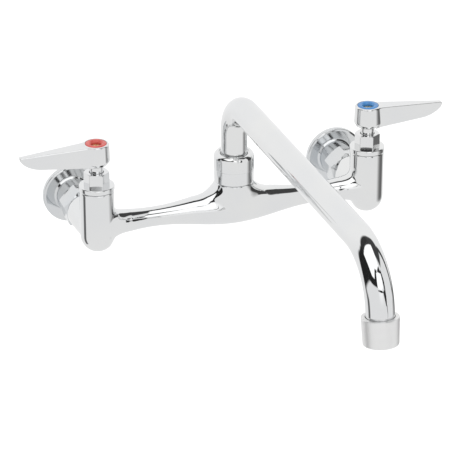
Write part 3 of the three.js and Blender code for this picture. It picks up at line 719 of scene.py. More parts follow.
@dataclass(frozen=True)
class Ceramic(Finish):
    """Lapped white ceramic with faint specks."""

    def inputs(self, recipe: Recipe) -> dict[str, object]:
        """Write the ceramic's nodes."""
        specks = recipe.noise(3600.0, 2.0)
        cloud = recipe.noise(180.0, 3.0)
        return {
            "Base Color": recipe.blend(
                specks.step(0.62, 0.75), grey(0.82), grey(0.66, (0.02, 0.01, 0.0))
            ),
            "Roughness": cloud * 0.12 + 0.12,
            "Normal": recipe.bump(specks, 0.004, 0.4),
        }


@dataclass(frozen=True)
class Plastic(Finish):
    """Moulded plastic, with a slight skin texture and a drift of its colour."""

    light: tuple = (0.8, 0.8, 0.76, 1.0)
    dark: tuple = (0.7, 0.69, 0.64, 1.0)
    haze: float = 0.3
    coat: float = 0.0

    def inputs(self, recipe: Recipe) -> dict[str, object]:
        """Write the plastic's nodes."""
        drift = recipe.noise(320.0, 3.0)
        skin = recipe.noise(2600.0, 2.0)
        return {
            "Base Color": recipe.blend(drift.step(0.3, 0.75), self.light, self.dark),
            "Roughness": skin * 0.1 + drift * 0.08 + self.haze,
            "Coat Weight": self.coat,
            "Coat Roughness": 0.06,
            "Normal": recipe.bump(skin, 0.006, 0.5),
        }


@dataclass(frozen=True)
class Paint(Finish):
    """Pale floor paint with a wide, faint cloud."""

    def inputs(self, recipe: Recipe) -> dict[str, object]:
        """Write the paint's nodes."""
        cloud = recipe.noise(0.7, 2.0)
        return {"Base Color": recipe.blend(cloud, grey(0.95), grey(0.97)), "Roughness": 0.9}


CASTING_CHROME = Chrome("casting_chrome", wave_mm=0.02, wave_scale=40.0)
TURNED_CHROME = Chrome("turned_chrome", wave_mm=0.004, wave_scale=70.0)
INLET_CHROME = Chrome("inlet_chrome", 0.7, cool=0.02, haze=0.09, wave_mm=0.006, wave_scale=90.0)
TUBE_CHROME = Chrome("tube_chrome", wave_mm=0.008, wave_scale=30.0)
OUTLET_SATIN = SatinChrome("outlet_satin", 0.83, centre=(10.0, -321.0, 37.0), turn=(-6.8, 0.0, 2.2))
BRASS = Metal("brass")
STAINLESS = Metal("stainless", grey(0.62), grey(0.5), 0.25)
RUBBER = Rubber("black_rubber")
CERAMIC = Ceramic("ceramic")
NYLON = Plastic("nylon")
RED_PLASTIC = Plastic("red_plastic", (0.58, 0.085, 0.07, 1.0), (0.47, 0.055, 0.045, 1.0), 0.3, 0.5)
BLUE_PLASTIC = Plastic("blue_plastic", (0.05, 0.22, 0.5, 1.0), (0.03, 0.16, 0.4, 1.0), 0.3, 0.5)


# ------------------------------------------------------------------ the casting
@dataclass
class Casting:
    """The body: two barrels with rear horns, two arms and the swelling with its boss."""

    barrel_r: float = 12.3
    barrel_top: float = 31.5
    barrel_round_z: float = -3.6
    horn_r: float = 13.0
    horn_neck_r: float = 12.2
    horn_length: float = 33.0
    nose_r: float = 10.6
    nose_end: float = 42.0
    arm_r: float = 7.2
    arm_z: float = 4.0
    arm_flare_r: float = 11.2
    arm_flare_length: float = 31.0
    heart_r: float = 13.4
    heart_spread: float = 60.0
    flare_power: float = 1.8
    boss_r: float = 13.9
    boss_top: float = 23.8
    boss_flare: float = 8.3
    boss_reach: float = 9.0
    neck_r: float = 11.6
    neck_top: float = 33.0
    chamber_r: float = 9.4
    seat_z: float = 3.0
    neck_bore_r: float = 8.3
    neck_bore_floor: float = 11.7
    nose_bore_r: float = 7.0
    nose_bore_depth: float = 12.0
    drill_point: float = 0.8
    web_boss_x: float = 19.0
    web_boss_z: float = 14.5
    web_arm_x: float = 86.0
    grain: float = 0.56

    @property
    def arm_end(self) -> float:
        """Where an arm ends inside its barrel."""
        return HALF - self.barrel_r * 0.55

    def arm_radius(self, x: float) -> float:
        """The arms' radius at a distance from the centre."""
        distance = abs(x)
        swelling = 0.5 + 0.5 * math.cos(math.pi * min(1.0, distance / self.heart_spread))
        flare = max(0.0, 1 - (self.arm_end - distance) / self.arm_flare_length)
        grown = (self.heart_r - self.arm_r) * swelling
        return self.arm_r + grown + (self.arm_flare_r - self.arm_r) * flare**self.flare_power

    def arms(self) -> Piece:
        """Both arms, turned about X."""
        steps = 110
        rows = [-self.arm_end + 2 * self.arm_end * i / steps for i in range(steps + 1)]
        skin = [(self.arm_radius(x), x) for x in rows]
        profile = [(0.0, rows[0])] + skin + [(0.0, rows[-1])]
        return Bench.place(Bench.spun(profile, 96), (0, 90, 0), (0, 0, self.arm_z))

    def boss(self) -> Piece:
        """The boss with its flare along the arms, drawn up ring by ring."""
        root = self.heart_r * 0.98
        rings = [(root, root, self.arm_z)]
        steps = 14
        for i in range(steps + 1):
            t = i / steps
            reach = self.boss_reach * (1 - t) ** self.flare_power
            rings.append((self.boss_r + reach, self.boss_r, self.boss_top - self.boss_flare * (1 - t)))
        rings.append((self.neck_r, self.neck_r, self.boss_top))
        rings.append((self.neck_r, self.neck_r, self.neck_top))
        Bench.rest()
        bpy.ops.mesh.primitive_circle_add(
            vertices=96, radius=rings[0][0] * MM, fill_type="NGON", location=(0, 0, rings[0][2] * MM)
        )
        piece = Bench.fresh()
        Bench.edit(piece, "FACE")
        for (x0, y0, z0), (x1, y1, z1) in zip(rings, rings[1:]):
            bpy.ops.mesh.extrude_region_move(
                TRANSFORM_OT_translate={"value": (0, 0, (z1 - z0) * MM)}
            )
            bpy.ops.transform.resize(
                value=(x1 / x0, y1 / y0, 1), center_override=(0, 0, z1 * MM)
            )
        bpy.ops.mesh.select_all(action="SELECT")
        bpy.ops.mesh.normals_make_consistent(inside=False)
        Bench.rest()
        return piece

    def barrel(self, x: float) -> Piece:
        """A valve barrel with its rounded bottom."""
        bottom = [
            (
                self.barrel_r * math.sin(i / 18 * math.pi / 2),
                self.barrel_round_z - self.barrel_r * math.cos(i / 18 * math.pi / 2),
            )
            for i in range(19)
        ]
        rim = rounded([bottom[-1], (self.barrel_r, self.barrel_top, 0.5), (0.0, self.barrel_top)])
        return Bench.place(Bench.spun(bottom[:-1] + rim, 96), at=(x, 0, 0))

    def horn(self, x: float) -> Piece:
        """A rear horn with its threaded nose."""
        profile = rounded([
            (0.0, 0.0), (self.horn_neck_r, 0.0), (self.horn_neck_r, self.barrel_r * 0.8, 12.0),
            (self.horn_r, self.horn_length * 0.8, 12.0), (self.horn_r, self.horn_length, 1.3),
            (self.nose_r, self.horn_length), (self.nose_r, self.nose_end, 0.6), (0.0, self.nose_end),
        ])
        return Bench.place(Bench.spun(profile, 96), (-90, 0, 0), (x, 0, 0))

    def bores(self) -> Piece:
        """The valve chambers, the neck's bore and the noses' sockets, as one cutter."""
        tools = [self.plug(self.neck_bore_r, self.neck_bore_floor, self.neck_top + 1)]
        for side in Side:
            chamber = self.plug(self.chamber_r, self.seat_z, self.barrel_top + 1)
            tools.append(Bench.place(chamber, at=(side.x, 0, 0)))
            socket = self.plug(
                self.nose_bore_r, self.nose_end - self.nose_bore_depth, self.nose_end + 1
            )
            tools.append(Bench.place(socket, (-90, 0, 0), (side.x, 0, 0)))
        return Bench.join(tools)

    @staticmethod
    def plug(radius: float, low: float, high: float) -> Piece:
        """A turned cutter with a drill point at its foot."""
        return Bench.spun([(0.0, low - Casting.drill_point), (radius, low), (radius, high), (0.0, high)], 64)

    def polish_share(self, place: Vector) -> float:
        """How much the casting is polished at a place: little at its machined rims."""
        if place.z > self.barrel_top - 1.6 or place.y > self.horn_length - 2.2:
            return 0.05
        if abs(place.x) < 30 and place.z > self.boss_top - 1.4:
            return 0.05
        return 1.0

    def web_share(self, place: Vector) -> float:
        """How much the hollows beside the boss and at the barrels are eased further."""
        from_boss, up = abs(abs(place.x) - self.web_boss_x), abs(place.z - self.web_boss_z)
        from_arm = abs(abs(place.x) - self.web_arm_x)
        beside_boss = min(1.0, 2 - from_boss / 6) * min(1.0, 2 - up / 4)
        at_barrel = min(1.0, 2 - from_arm / 4) if place.z < 20 else 0.0
        boss = beside_boss if from_boss < 12 and up < 8 else 0.0
        web = at_barrel if from_arm < 8 else 0.0
        return max(0.0, boss, web)

    def build(self) -> Piece:
        """Build and dress the casting.

        Returns:
            The finished casting.
        """
        bodies = [self.arms(), self.boss()]
        for side in Side:
            bodies += [self.barrel(side.x), self.horn(side.x)]
        piece = Bench.cast(Bench.join(bodies), self.grain)
        Bench.polish(piece, 34, self.polish_share)
        Bench.polish(piece, 260, self.web_share)
        Bench.polish(piece, 3)
        Bench.combine(piece, self.bores(), "DIFFERENCE")
        Bench.smooth(piece, 50)
        Bench.place(piece, at=(0, -STANDOFF, 0))
        return Bench.finish(piece, "body_casting", CASTING_CHROME, "faucet_body")


# ------------------------------------------------------------------ inlets
@dataclass
class Inlet:
    """One side's wall flange with its hub, and the hex coupling nut in front of it."""

    side: Side
    hub_low: float = 49.25
    hub_r: float = 12.0
    hub_foot: float = 1.4
    flange_r: float = 21.6
    flange_thick: float = 4.3
    flange_dish: float = 1.4
    flange_edge: float = 0.7
    tail_socket_r: float = 8.9
    tail_socket_depth: float = 6.3
    bore_r: float = 6.0
    wall_socket_r: float = 7.9
    wall_socket_depth: float = 9.0
    nut_low: float = 33.3
    nut_high: float = 48.95
    nut_flats: float = 26.0
    nut_chamfer_r: float = 12.5
    nut_bore_r: float = 10.9
    nut_web_low: float = 46.35
    nut_hole_r: float = 9.4

    def at_inlet(self, piece: Piece) -> Piece:
        """Lay a turned piece along the inlet's axis."""
        return Bench.place(piece, (-90, 0, 0), (self.side.x, -STANDOFF, 0))

    def flange(self) -> Piece:
        """The wall flange and hub, turned in one."""
        front = STANDOFF - self.flange_thick
        dish = front + self.flange_dish
        profile = rounded([
            (self.tail_socket_r, self.hub_low), (self.hub_r, self.hub_low, 0.7),
            (self.hub_r, dish - self.hub_foot, 1.2), (self.hub_r + self.hub_foot, dish, 0.5),
            (self.flange_r - self.flange_edge - 0.8, front, 0.5),
            (self.flange_r, front + self.flange_edge, 0.7),
            (self.flange_r, STANDOFF, 0.3), (self.wall_socket_r, STANDOFF, 0.4),
            (self.wall_socket_r, STANDOFF - self.wall_socket_depth),
            (self.bore_r, STANDOFF - self.wall_socket_depth),
            (self.bore_r, self.hub_low + self.tail_socket_depth),
            (self.tail_socket_r, self.hub_low + self.tail_socket_depth),
            (self.tail_socket_r, self.hub_low),
        ])
        piece = Bench.machined(self.at_inlet(Bench.spun(profile, 160)), 32)
        return Bench.finish(piece, "flange_and_hub", INLET_CHROME, "wall_inlet", side=self.side)

    def nut(self) -> Piece:
        """The hex coupling nut with its turned ends."""
        corner_r = self.nut_flats / math.sqrt(3)
        slope = (corner_r - self.nut_chamfer_r) * 0.6
        envelope = Bench.spun(
            rounded([
                (self.nut_bore_r, self.nut_low), (self.nut_chamfer_r, self.nut_low, 0.5),
                (corner_r, self.nut_low + slope), (corner_r, self.nut_high - slope),
                (self.nut_chamfer_r, self.nut_high, 0.5), (self.nut_hole_r, self.nut_high),
                (self.nut_hole_r, self.nut_web_low), (self.nut_bore_r, self.nut_web_low),
                (self.nut_bore_r, self.nut_low),
            ]),
            144,
        )
        piece = Bench.hexagon(self.nut_flats, self.nut_low - 1, self.nut_high + 1, 0.55)
        Bench.place(piece, (0, 0, self.side.coupling_turn))
        Bench.combine(piece, envelope, "INTERSECT")
        Bench.machined(self.at_inlet(piece), 24)
        return Bench.finish(piece, "hex_coupling", INLET_CHROME, "coupling_nut", side=self.side)

    def build(self) -> list[Piece]:
        """Build the inlet's flange and nut."""
        return [self.flange(), self.nut()]


# ------------------------------------------------------------------ valves
@dataclass
class Valve:
    """One side's bonnet and the stem that comes out of it."""

    side: Side
    base: float = 31.8
    flange_r: float = 12.6
    flange_thick: float = 3.6
    hex_flats: float = 15.9
    top: float = 45.3
    hex_chamfer_r: float = 8.1
    shank_r: float = 9.1
    skirt_r: float = 7.5
    skirt_low: float = 8.6
    shank_low: float = 16.3
    bore_r: float = 6.0
    web_low: float = 39.6
    stem_hole_r: float = 5.1
    stem_r: float = 4.8
    stem_foot: float = 12.0
    collar_r: float = 5.7
    neck_top: float = 50.8
    foot_height: float = 3.0
    collar_length: float = 9.0
    collar_play: float = 0.3
    spline_r: float = 4.0
    spline_core_r: float = 3.4
    spline_top: float = 59.3
    spline_count: int = 12
    spline_valley: float = 0.875

    def bonnet(self) -> Piece:
        """The round flange with its hex, shank and skirt."""
        flange_top = self.base + self.flange_thick
        corner_r = self.hex_flats / math.sqrt(3)
        disc = Bench.spun(
            rounded([
                (self.bore_r, self.skirt_low), (self.skirt_r, self.skirt_low),
                (self.skirt_r, self.shank_low), (self.shank_r, self.shank_low),
                (self.shank_r, self.base), (self.flange_r, self.base, 0.5),
                (self.flange_r, flange_top, 0.8), (self.hex_flats / 2 - 1, flange_top),
                (self.hex_flats / 2 - 1, self.web_low), (self.bore_r, self.web_low),
                (self.bore_r, self.skirt_low),
            ]),
            144,
        )
        slope = (corner_r - self.hex_chamfer_r) * 0.75
        envelope = Bench.spun(
            rounded([
                (self.stem_hole_r, flange_top - 1), (corner_r + 0.2, flange_top - 1),
                (corner_r + 0.2, self.top - slope), (self.hex_chamfer_r, self.top, 0.35),
                (self.stem_hole_r, self.top, 0.5), (self.stem_hole_r, flange_top - 1),
            ]),
            144,
        )
        piece = Bench.hexagon(self.hex_flats, flange_top - 2, self.top + 1, 0.45)
        Bench.place(piece, (0, 0, self.side.bonnet_turn))
        Bench.combine(piece, envelope, "INTERSECT")
        Bench.combine(piece, disc, "UNION")
        Bench.machined(piece, 24)
        Bench.place(piece, at=(self.side.x, -STANDOFF, 0))
        return Bench.finish(piece, "hex_bonnet", TURNED_CHROME, "bonnet", side=self.side)

    def stem(self) -> Piece:
        """The stem: its foot and collar inside the bonnet, the neck, and the splined top."""
        foot_top = self.stem_foot + self.foot_height
        collar_top = self.web_low - self.collar_play
        collar_low = collar_top - self.collar_length
        profile = rounded([
            (0.0, self.stem_foot), (self.collar_r, self.stem_foot, 0.3),
            (self.collar_r, foot_top, 0.3), (self.stem_r, foot_top),
            (self.stem_r, collar_low), (self.collar_r, collar_low, 0.3),
            (self.collar_r, collar_top, 0.3), (self.stem_r, collar_top),
            (self.stem_r, self.neck_top, 0.4), (self.spline_core_r, self.neck_top),
            (self.spline_core_r, self.spline_top, 0.4), (0.0, self.spline_top),
        ])
        piece = Bench.combine(Bench.spun(profile, 96), self.splines(), "UNION")
        Bench.machined(piece, 30)
        Bench.place(piece, (0, 0, self.side.lever_turn), (self.side.x, -STANDOFF, 0))
        body = self.side.node("handle")
        return Bench.finish(
            piece, "splined_stem", TURNED_CHROME, "valve_stem", side=self.side, body=body
        )

    def splines(self) -> Piece:
        """The teeth that carry the handle."""
        Bench.rest()
        length = self.spline_top - self.neck_top - 0.5
        bpy.ops.mesh.primitive_cylinder_add(
            vertices=2 * self.spline_count, radius=self.spline_r * MM, depth=length * MM,
            location=(0, 0, (self.neck_top + 0.2 + length / 2) * MM),
        )
        piece = Bench.fresh()
        Bench.select_edges(
            piece, lambda a, b: self.is_valley(a) and self.is_valley(b) and abs(a.z - b.z) > 1
        )
        bpy.ops.transform.resize(
            value=(self.spline_valley, self.spline_valley, 1),
            center_override=(0, 0, (self.neck_top + length / 2) * MM),
        )
        Bench.rest()
        return piece

    def is_valley(self, place: Vector) -> bool:
        """Whether a corner of the splines is a valley."""
        return round(math.atan2(place.y, place.x) / math.pi * self.spline_count) % 2 == 1

    def build(self) -> list[Piece]:
        """Build the valve's bonnet and stem."""
        return [self.bonnet(), self.stem()]


# ------------------------------------------------------------------ handles
@dataclass
class Handle:
    """One side's lever handle with its coloured index and slotted screw."""

    side: Side
    bottom: float = 51.1
    top: float = 66.7
    hub_top_r: float = 9.3
    hub_r: float = 9.9
    hub_bottom_r: float = 7.9
    hub_chamfer: float = 3.0
    reach: float = 55.3
    root_width: float = 13.5
    tip_width: float = 4.2
    root_top: float = 66.6
    tip_top: float = 64.0
    root_bottom: float = 50.2
    tip_bottom: float = 55.0
    tip_rise: float = 15.0
    fillet_r: float = 15.0
    blade_edge: float = 0.9
    index_r: float = 7.55
    index_depth: float = 3.0
    index_rise: float = 0.5
    screw_r: float = 3.2
    screw_height: float = 1.5
    slot_width: float = 0.75
    screw_shank_r: float = 1.7
    screw_tip_r: float = 1.2
    screw_tip: float = 47.6
    screw_turn: float = 62.0
    screw_hole_r: float = 2.0
    socket_r: float = 4.3
    socket_top: float = 59.6
    neck_clear_r: float = 5.1
    seat_play: float = 0.15
    grain: float = 0.25

    @property
    def fillet_end(self) -> float:
        """Where the hollow beside the hub runs out on the blade's flat side."""
        reach = self.hub_top_r + self.fillet_r
        return math.sqrt(reach**2 - (self.root_width / 2 + self.fillet_r) ** 2)

    @property
    def fillet_start(self) -> float:
        """Where the hollow leaves the hub."""
        return self.fillet_end * self.hub_top_r / (self.hub_top_r + self.fillet_r)

    def section(self, distance: float) -> tuple[float, float, float]:
        """The blade's half width, underside and top at a distance from the stem's axis.

        Args:
            distance: how far out, in millimetres.

        Returns:
            Half the width, the height of the underside and that of the top.
        """
        t = distance / self.reach
        half = (self.root_width + (self.tip_width - self.root_width) * t) / 2
        back = max(0.0, self.fillet_end - distance)
        half += self.fillet_r - math.sqrt(self.fillet_r**2 - back**2)
        top = self.root_top + (self.tip_top - self.root_top) * t
        line = self.root_bottom + (self.tip_bottom - self.root_bottom) * t
        to_tip = max(0.0, 1 - (self.reach - distance) / self.tip_rise)
        low = line + (self.tip_top - line) * (1 - math.sqrt(1 - to_tip**2 * 0.97))
        return half, low, top

    def blade(self) -> Piece:
        """The blade, drawn out along +X section by section."""
        start = self.fillet_start
        shares = [i / 12 for i in range(12)] + [1 + i * 0.25 for i in range(17)]
        stations = [start + (self.fillet_end - start) * s for s in shares if s <= 2]
        last = stations[-1]
        curve_start = self.reach - self.tip_rise
        stations += [last + (curve_start - last) * (i + 1) / 10 for i in range(10)]
        stations += [
            self.reach - self.tip_rise * math.cos(i / 36 * math.pi / 2) for i in range(1, 36)
        ]
        stations.append(self.reach)
        Bench.rest()
        half, low, top = self.section(stations[0])
        bpy.ops.mesh.primitive_plane_add(size=2 * MM, rotation=(0, math.pi / 2, 0))
        piece = Bench.fresh()
        Bench.edit(piece, "FACE")
        bpy.ops.transform.resize(value=(1, half, (top - low) / 2), center_override=(0, 0, 0))
        bpy.ops.transform.translate(value=(stations[0] * MM, 0, (top + low) / 2 * MM))
        for here, there in zip(stations, stations[1:]):
            half0, low0, top0 = self.section(here)
            half1, low1, top1 = self.section(there)
            lift = (top1 + low1 - top0 - low0) / 2
            bpy.ops.mesh.extrude_region_move(
                TRANSFORM_OT_translate={"value": ((there - here) * MM, 0, lift * MM)}
            )
            bpy.ops.transform.resize(
                value=(1, half1 / half0, (top1 - low1) / (top0 - low0)),
                center_override=(there * MM, 0, (top1 + low1) / 2 * MM),
            )
        Bench.seal()
        Bench.rest()
        return Bench.modify(
            piece, "BEVEL", width=self.blade_edge * MM, segments=1, limit_method="ANGLE",
            angle_limit=math.radians(60), use_clamp_overlap=True, offset_type="WIDTH",
        )

    def lever(self) -> Piece:
        """The hub and blade as one casting, bored for the index, screw and stem."""
        hub = Bench.spun(
            rounded([
                (0.0, self.bottom), (self.hub_bottom_r, self.bottom, 0.5),
                (self.hub_r, self.bottom + self.hub_chamfer, 1.6),
                (self.hub_top_r, self.top, 0.9), (0.0, self.top),
            ]),
            128,
        )
        piece = Bench.cast(Bench.join([hub, self.blade()]), self.grain)
        Bench.polish(piece, 9)
        Bench.combine(piece, self.bores(), "DIFFERENCE")
        Bench.smooth(piece, 42)
        Bench.place(piece, (0, 0, self.side.lever_turn), (self.side.x, -STANDOFF, 0))
        body = self.side.node("handle")
        return Bench.finish(
            piece, "lever", TURNED_CHROME, "lever_handle", side=self.side, body=body
        )

    def bores(self) -> Piece:
        """The seat of the index, the screw's hole and the stem's socket, as one cutter."""
        seat = self.top - self.index_depth
        seat_r = self.index_r + self.seat_play
        return Bench.spun(
            [
                (0.0, self.bottom - 4), (self.neck_clear_r, self.bottom - 4),
                (self.neck_clear_r, self.bottom), (self.socket_r, self.bottom),
                (self.socket_r, self.socket_top), (self.screw_hole_r, self.socket_top),
                (self.screw_hole_r, seat), (seat_r, seat), (seat_r, self.top + 1),
                (0.0, self.top + 1),
            ],
            96,
        )

    def index(self) -> Piece:
        """The coloured disc: a raised rim round a sunk ring."""
        low = self.top - self.index_depth
        crest = self.top + self.index_rise
        hole = self.screw_r + 0.3
        profile = rounded([
            (hole, low), (self.index_r, low), (self.index_r, self.top - 0.1, 0.1),
            (self.index_r - 0.9, crest - 0.1, 1.2), (4.9, crest, 1.2),
            (hole + 0.15, self.top - 0.9, 0.8), (hole, low),
        ])
        piece = Bench.machined(Bench.spun(profile, 96), 34)
        Bench.place(piece, at=(self.side.x, -STANDOFF, 0))
        finish = RED_PLASTIC if self.side is Side.HOT else BLUE_PLASTIC
        slot = "red_index" if self.side is Side.HOT else "blue_index"
        body = self.side.node("handle")
        return Bench.finish(
            piece, "index_button", finish, "index_disc", side=self.side, body=body, slot=slot
        )

    def screw(self) -> Piece:
        """The slotted screw with its domed head."""
        seat = self.top - self.index_depth
        crown = seat + self.screw_height
        profile = rounded([
            (0.0, self.screw_tip), (self.screw_tip_r, self.screw_tip),
            (self.screw_shank_r, self.screw_tip + 0.8), (self.screw_shank_r, seat),
            (self.screw_r, seat, 0.1), (self.screw_r, crown - 0.35, 0.5), (0.0, crown),
        ])
        piece = Bench.spun(profile, 72)
        Bench.rest()
        bpy.ops.mesh.primitive_cube_add(size=1)
        tool = bpy.context.object
        tool.scale = (self.screw_r * 3 * MM, self.slot_width * MM, 2 * MM)
        tool.location = (0, 0, (crown + 0.25) * MM)
        Bench.fresh()
        Bench.combine(piece, tool, "DIFFERENCE")
        Bench.machined(piece, 30)
        Bench.place(piece, (0, 0, self.screw_turn), (self.side.x, -STANDOFF, 0))
        body = self.side.node("handle")
        return Bench.finish(
            piece, "slotted_screw", BRASS, "handle_screw", side=self.side, body=body, slot="brass"
        )

    def build(self) -> list[Piece]:
        """Build the handle's lever, index and screw."""
        return [self.lever(), self.index(), self.screw()]


# ------------------------------------------------------------------ nozzle
@dataclass
class Nozzle:
    """The swing nozzle: its nut on the casting, the bent tube and the outlet's housing."""

    rest_deg: float = 2.2
    tube_r: float = 9.525
    wall: float = 1.2
    foot: float = 35.6
    reach: float = 254.0
    rise: float = 85.3
    slope_deg: float = 1.9
    top_bend_r: float = 23.0
    end_bend_r: float = 41.0
    tilt_deg: float = 6.8
    stub: float = 5.3
    nut_bore_r: float = 11.9
    nut_bottom: float = 24.1
    nut_lower_r: float = 14.2
    nut_r: float = 14.5
    nut_step: float = 33.7
    nut_shoulder: float = 41.7
    nut_top: float = 45.6
    nut_lip_r: float = 11.7
    nut_recess: float = 1.0
    nut_web: float = 36.95
    outlet_r: float = 12.5
    outlet_tip_r: float = 11.8
    outlet_height: float = 17.5
    outlet_lip: float = 1.4
    outlet_mouth_r: float = 8.6
    outlet_ledge: float = 2.0

    @property
    def leave_deg(self) -> float:
        """The long run's heading."""
        return 90 + self.slope_deg

    @property
    def finish_deg(self) -> float:
        """The outlet's heading."""
        return 180 - self.tilt_deg

    @property
    def top_out(self) -> float:
        """How far out the top bend ends."""
        return self.top_bend_r * (1 - math.cos(math.radians(self.leave_deg)))

    @property
    def spring(self) -> float:
        """Where the top bend starts, so that the long run's line meets the axis at the rise."""
        drop = math.tan(math.radians(self.slope_deg)) * self.top_out
        return self.rise - drop - self.top_bend_r * math.sin(math.radians(self.leave_deg))

    @property
    def run(self) -> float:
        """The length of the long run, so that the outlet comes out at the reach."""
        leave, finish = math.radians(self.leave_deg), math.radians(self.finish_deg)
        bend = self.end_bend_r * (math.cos(leave) - math.cos(finish))
        return (self.reach - self.top_out - bend - self.stub * math.sin(finish)) / math.sin(leave)

    def heading(self, degrees: float) -> Vector:
        """The direction of the tube's axis, 0 being straight up and 90 straight out."""
        angle = math.radians(degrees)
        return Vector((0.0, -math.sin(angle), math.cos(angle)))

    def inward(self, degrees: float) -> Vector:
        """The direction from the tube's axis to the centre of its bend."""
        return self.heading(degrees + 90)

    def tube(self) -> Piece:
        """The tube: a ring drawn up, spun round both bends, and given its wall."""
        Bench.rest()
        bpy.ops.mesh.primitive_circle_add(
            vertices=80, radius=self.tube_r * MM, fill_type="NOTHING",
            location=(0, 0, self.foot * MM),
        )
        piece = Bench.fresh()
        Bench.edit(piece, "EDGE")
        place = Vector((0, 0, self.foot))
        place = self.draw(place, 0.0, self.spring - self.foot)
        place = self.bend(place, 0.0, self.leave_deg, self.top_bend_r, 56)
        place = self.draw(place, self.leave_deg, self.run)
        place = self.bend(place, self.leave_deg, self.finish_deg, self.end_bend_r, 56)
        self.draw(place, self.finish_deg, self.stub)
        Bench.seal()
        Bench.rest()
        face = next(f for f in piece.data.polygons if f.center.z < 50 * MM and abs(f.center.y) < 0.02)
        if face.normal.dot(Vector((face.center.x, face.center.y, 0))) < 0:
            Bench.edit(piece, "EDGE")
            bpy.ops.mesh.flip_normals()
            Bench.rest()
        Bench.modify(piece, "SOLIDIFY", thickness=self.wall * MM, offset=-1, use_even_offset=True)
        Bench.smooth(piece, 40)
        self.swing(piece)
        return Bench.finish(piece, "bent_tube", TUBE_CHROME, "nozzle_tube", body="nozzle")

    def draw(self, place: Vector, degrees: float, length: float) -> Vector:
        """Draw the open ring straight on.

        Args:
            place: the ring's centre.
            degrees: its heading.
            length: how far it goes.

        Returns:
            The ring's new centre.
        """
        move = self.heading(degrees) * length
        bpy.ops.mesh.extrude_edges_move(TRANSFORM_OT_translate={"value": move * MM})
        return place + move

    def bend(self, place: Vector, start: float, end: float, radius: float, steps: int) -> Vector:
        """Spin the open ring round a bend.

        Args:
            place: the ring's centre.
            start: its heading before the bend.
            end: its heading after it.
            radius: the bend's radius, to the tube's axis.
            steps: how many steps the bend has.

        Returns:
            The ring's new centre.
        """
        centre = place + self.inward(start) * radius
        bpy.ops.mesh.spin(
            steps=steps, angle=-math.radians(end - start), center=centre * MM, axis=(1, 0, 0),
            use_auto_merge=False,
        )
        return centre - self.inward(end) * radius

    def swing(self, piece: Piece) -> Piece:
        """Turn a piece of the nozzle to its resting swing, over the centre boss."""
        return Bench.place(piece, (0, 0, self.rest_deg), (0, -STANDOFF, 0))

    def nut(self) -> Piece:
        """The round nut with its step, rounded shoulder and recessed lip."""
        step = self.nut_r - self.nut_lower_r
        width, height = self.nut_r - self.nut_lip_r, self.nut_top - self.nut_shoulder
        turns = [i / 10 * math.pi / 2 for i in range(11)]
        shoulder = [
            (self.nut_lip_r + width * math.cos(t), self.nut_shoulder + height * math.sin(t))
            for t in turns
        ]
        recess_r = self.nut_lip_r - self.nut_recess
        hole_r = self.tube_r + 0.3
        profile = rounded([
            (self.nut_bore_r, self.nut_bottom), (self.nut_lower_r, self.nut_bottom, 0.5),
            (self.nut_lower_r, self.nut_step, 0.15), (self.nut_r, self.nut_step + step, 0.15),
            *shoulder, (recess_r, self.nut_top, 0.35), (recess_r, self.nut_top - self.nut_recess, 0.3),
            (hole_r, self.nut_top - self.nut_recess, 0.2), (hole_r, self.nut_web),
            (self.nut_bore_r, self.nut_web), (self.nut_bore_r, self.nut_bottom),
        ])
        piece = Bench.machined(Bench.spun(profile, 160), 32)
        Bench.place(piece, at=(0, -STANDOFF, 0))
        return Bench.finish(piece, "swivel_nut", TURNED_CHROME, "nozzle_nut")

    def tube_end(self) -> Vector:
        """Where the tube's axis ends, before the nozzle is swung."""
        place = Vector((0, 0, self.spring))
        place += self.inward(0) * self.top_bend_r - self.inward(self.leave_deg) * self.top_bend_r
        place += self.heading(self.leave_deg) * self.run
        place += self.inward(self.leave_deg) * self.end_bend_r
        place -= self.inward(self.finish_deg) * self.end_bend_r
        return place + self.heading(self.finish_deg) * self.stub

    def outlet(self) -> Piece:
        """The outlet's housing, with its lip round the tube and the mouth's ledge."""
        ledge = self.outlet_height - self.outlet_ledge
        bore = self.tube_r + 0.3
        profile = rounded([
            (bore, -self.outlet_lip), (self.outlet_r, -self.outlet_lip, 0.5),
            (self.outlet_r, 0.6, 0.8), (self.outlet_tip_r, self.outlet_height, 0.9),
            (self.outlet_mouth_r, self.outlet_height, 0.4), (self.outlet_mouth_r, ledge),
            (bore, ledge), (bore, -self.outlet_lip),
        ])
        piece = Bench.machined(Bench.spun(profile, 144), 32)
        end = self.tube_end()
        Bench.place(piece, (self.finish_deg, 0, 0), (0, end.y, end.z))
        self.swing(piece)
        return Bench.finish(
            piece, "outlet_collar", OUTLET_SATIN, "outlet_housing", body="nozzle",
            slot="satin_chrome",
        )

    def build(self) -> list[Piece]:
        """Build the nozzle's nut, tube and outlet."""
        return [self.nut(), self.tube(), self.outlet()]


# ------------------------------------------------------------------ what stays of the frame
class InnerWorks:
    """The CAD nodes that stay as they are and only get their finishes."""

    FINISHES: dict[str, Finish] = {
        "polished_chrome": TURNED_CHROME,
        "satin_chrome": OUTLET_SATIN,
        "brass": BRASS,
        "stainless": STAINLESS,
        "black_rubber": RUBBER,
        "ceramic_disc": CERAMIC,
        "nylon": NYLON,
        "red_index": RED_PLASTIC,
        "blue_index": BLUE_PLASTIC,
    }

    def slot_of(self, node: str) -> str:
        """The record's material slot of a node."""
        for row in frame["record"]["subparts"]:
            if row["node"] == node:
                return row["material_slot"]
        return "stainless"

    def dress(self) -> None:
        """Give every CAD node the finish of its slot."""
        for name, node in frame["nodes"].items():
            finish = self.FINISHES.get(self.slot_of(name), STAINLESS)
            node.data.materials.clear()
            node.data.materials.append(finish.material)
        log.info("dressed %d nodes of the frame", len(frame["nodes"]))


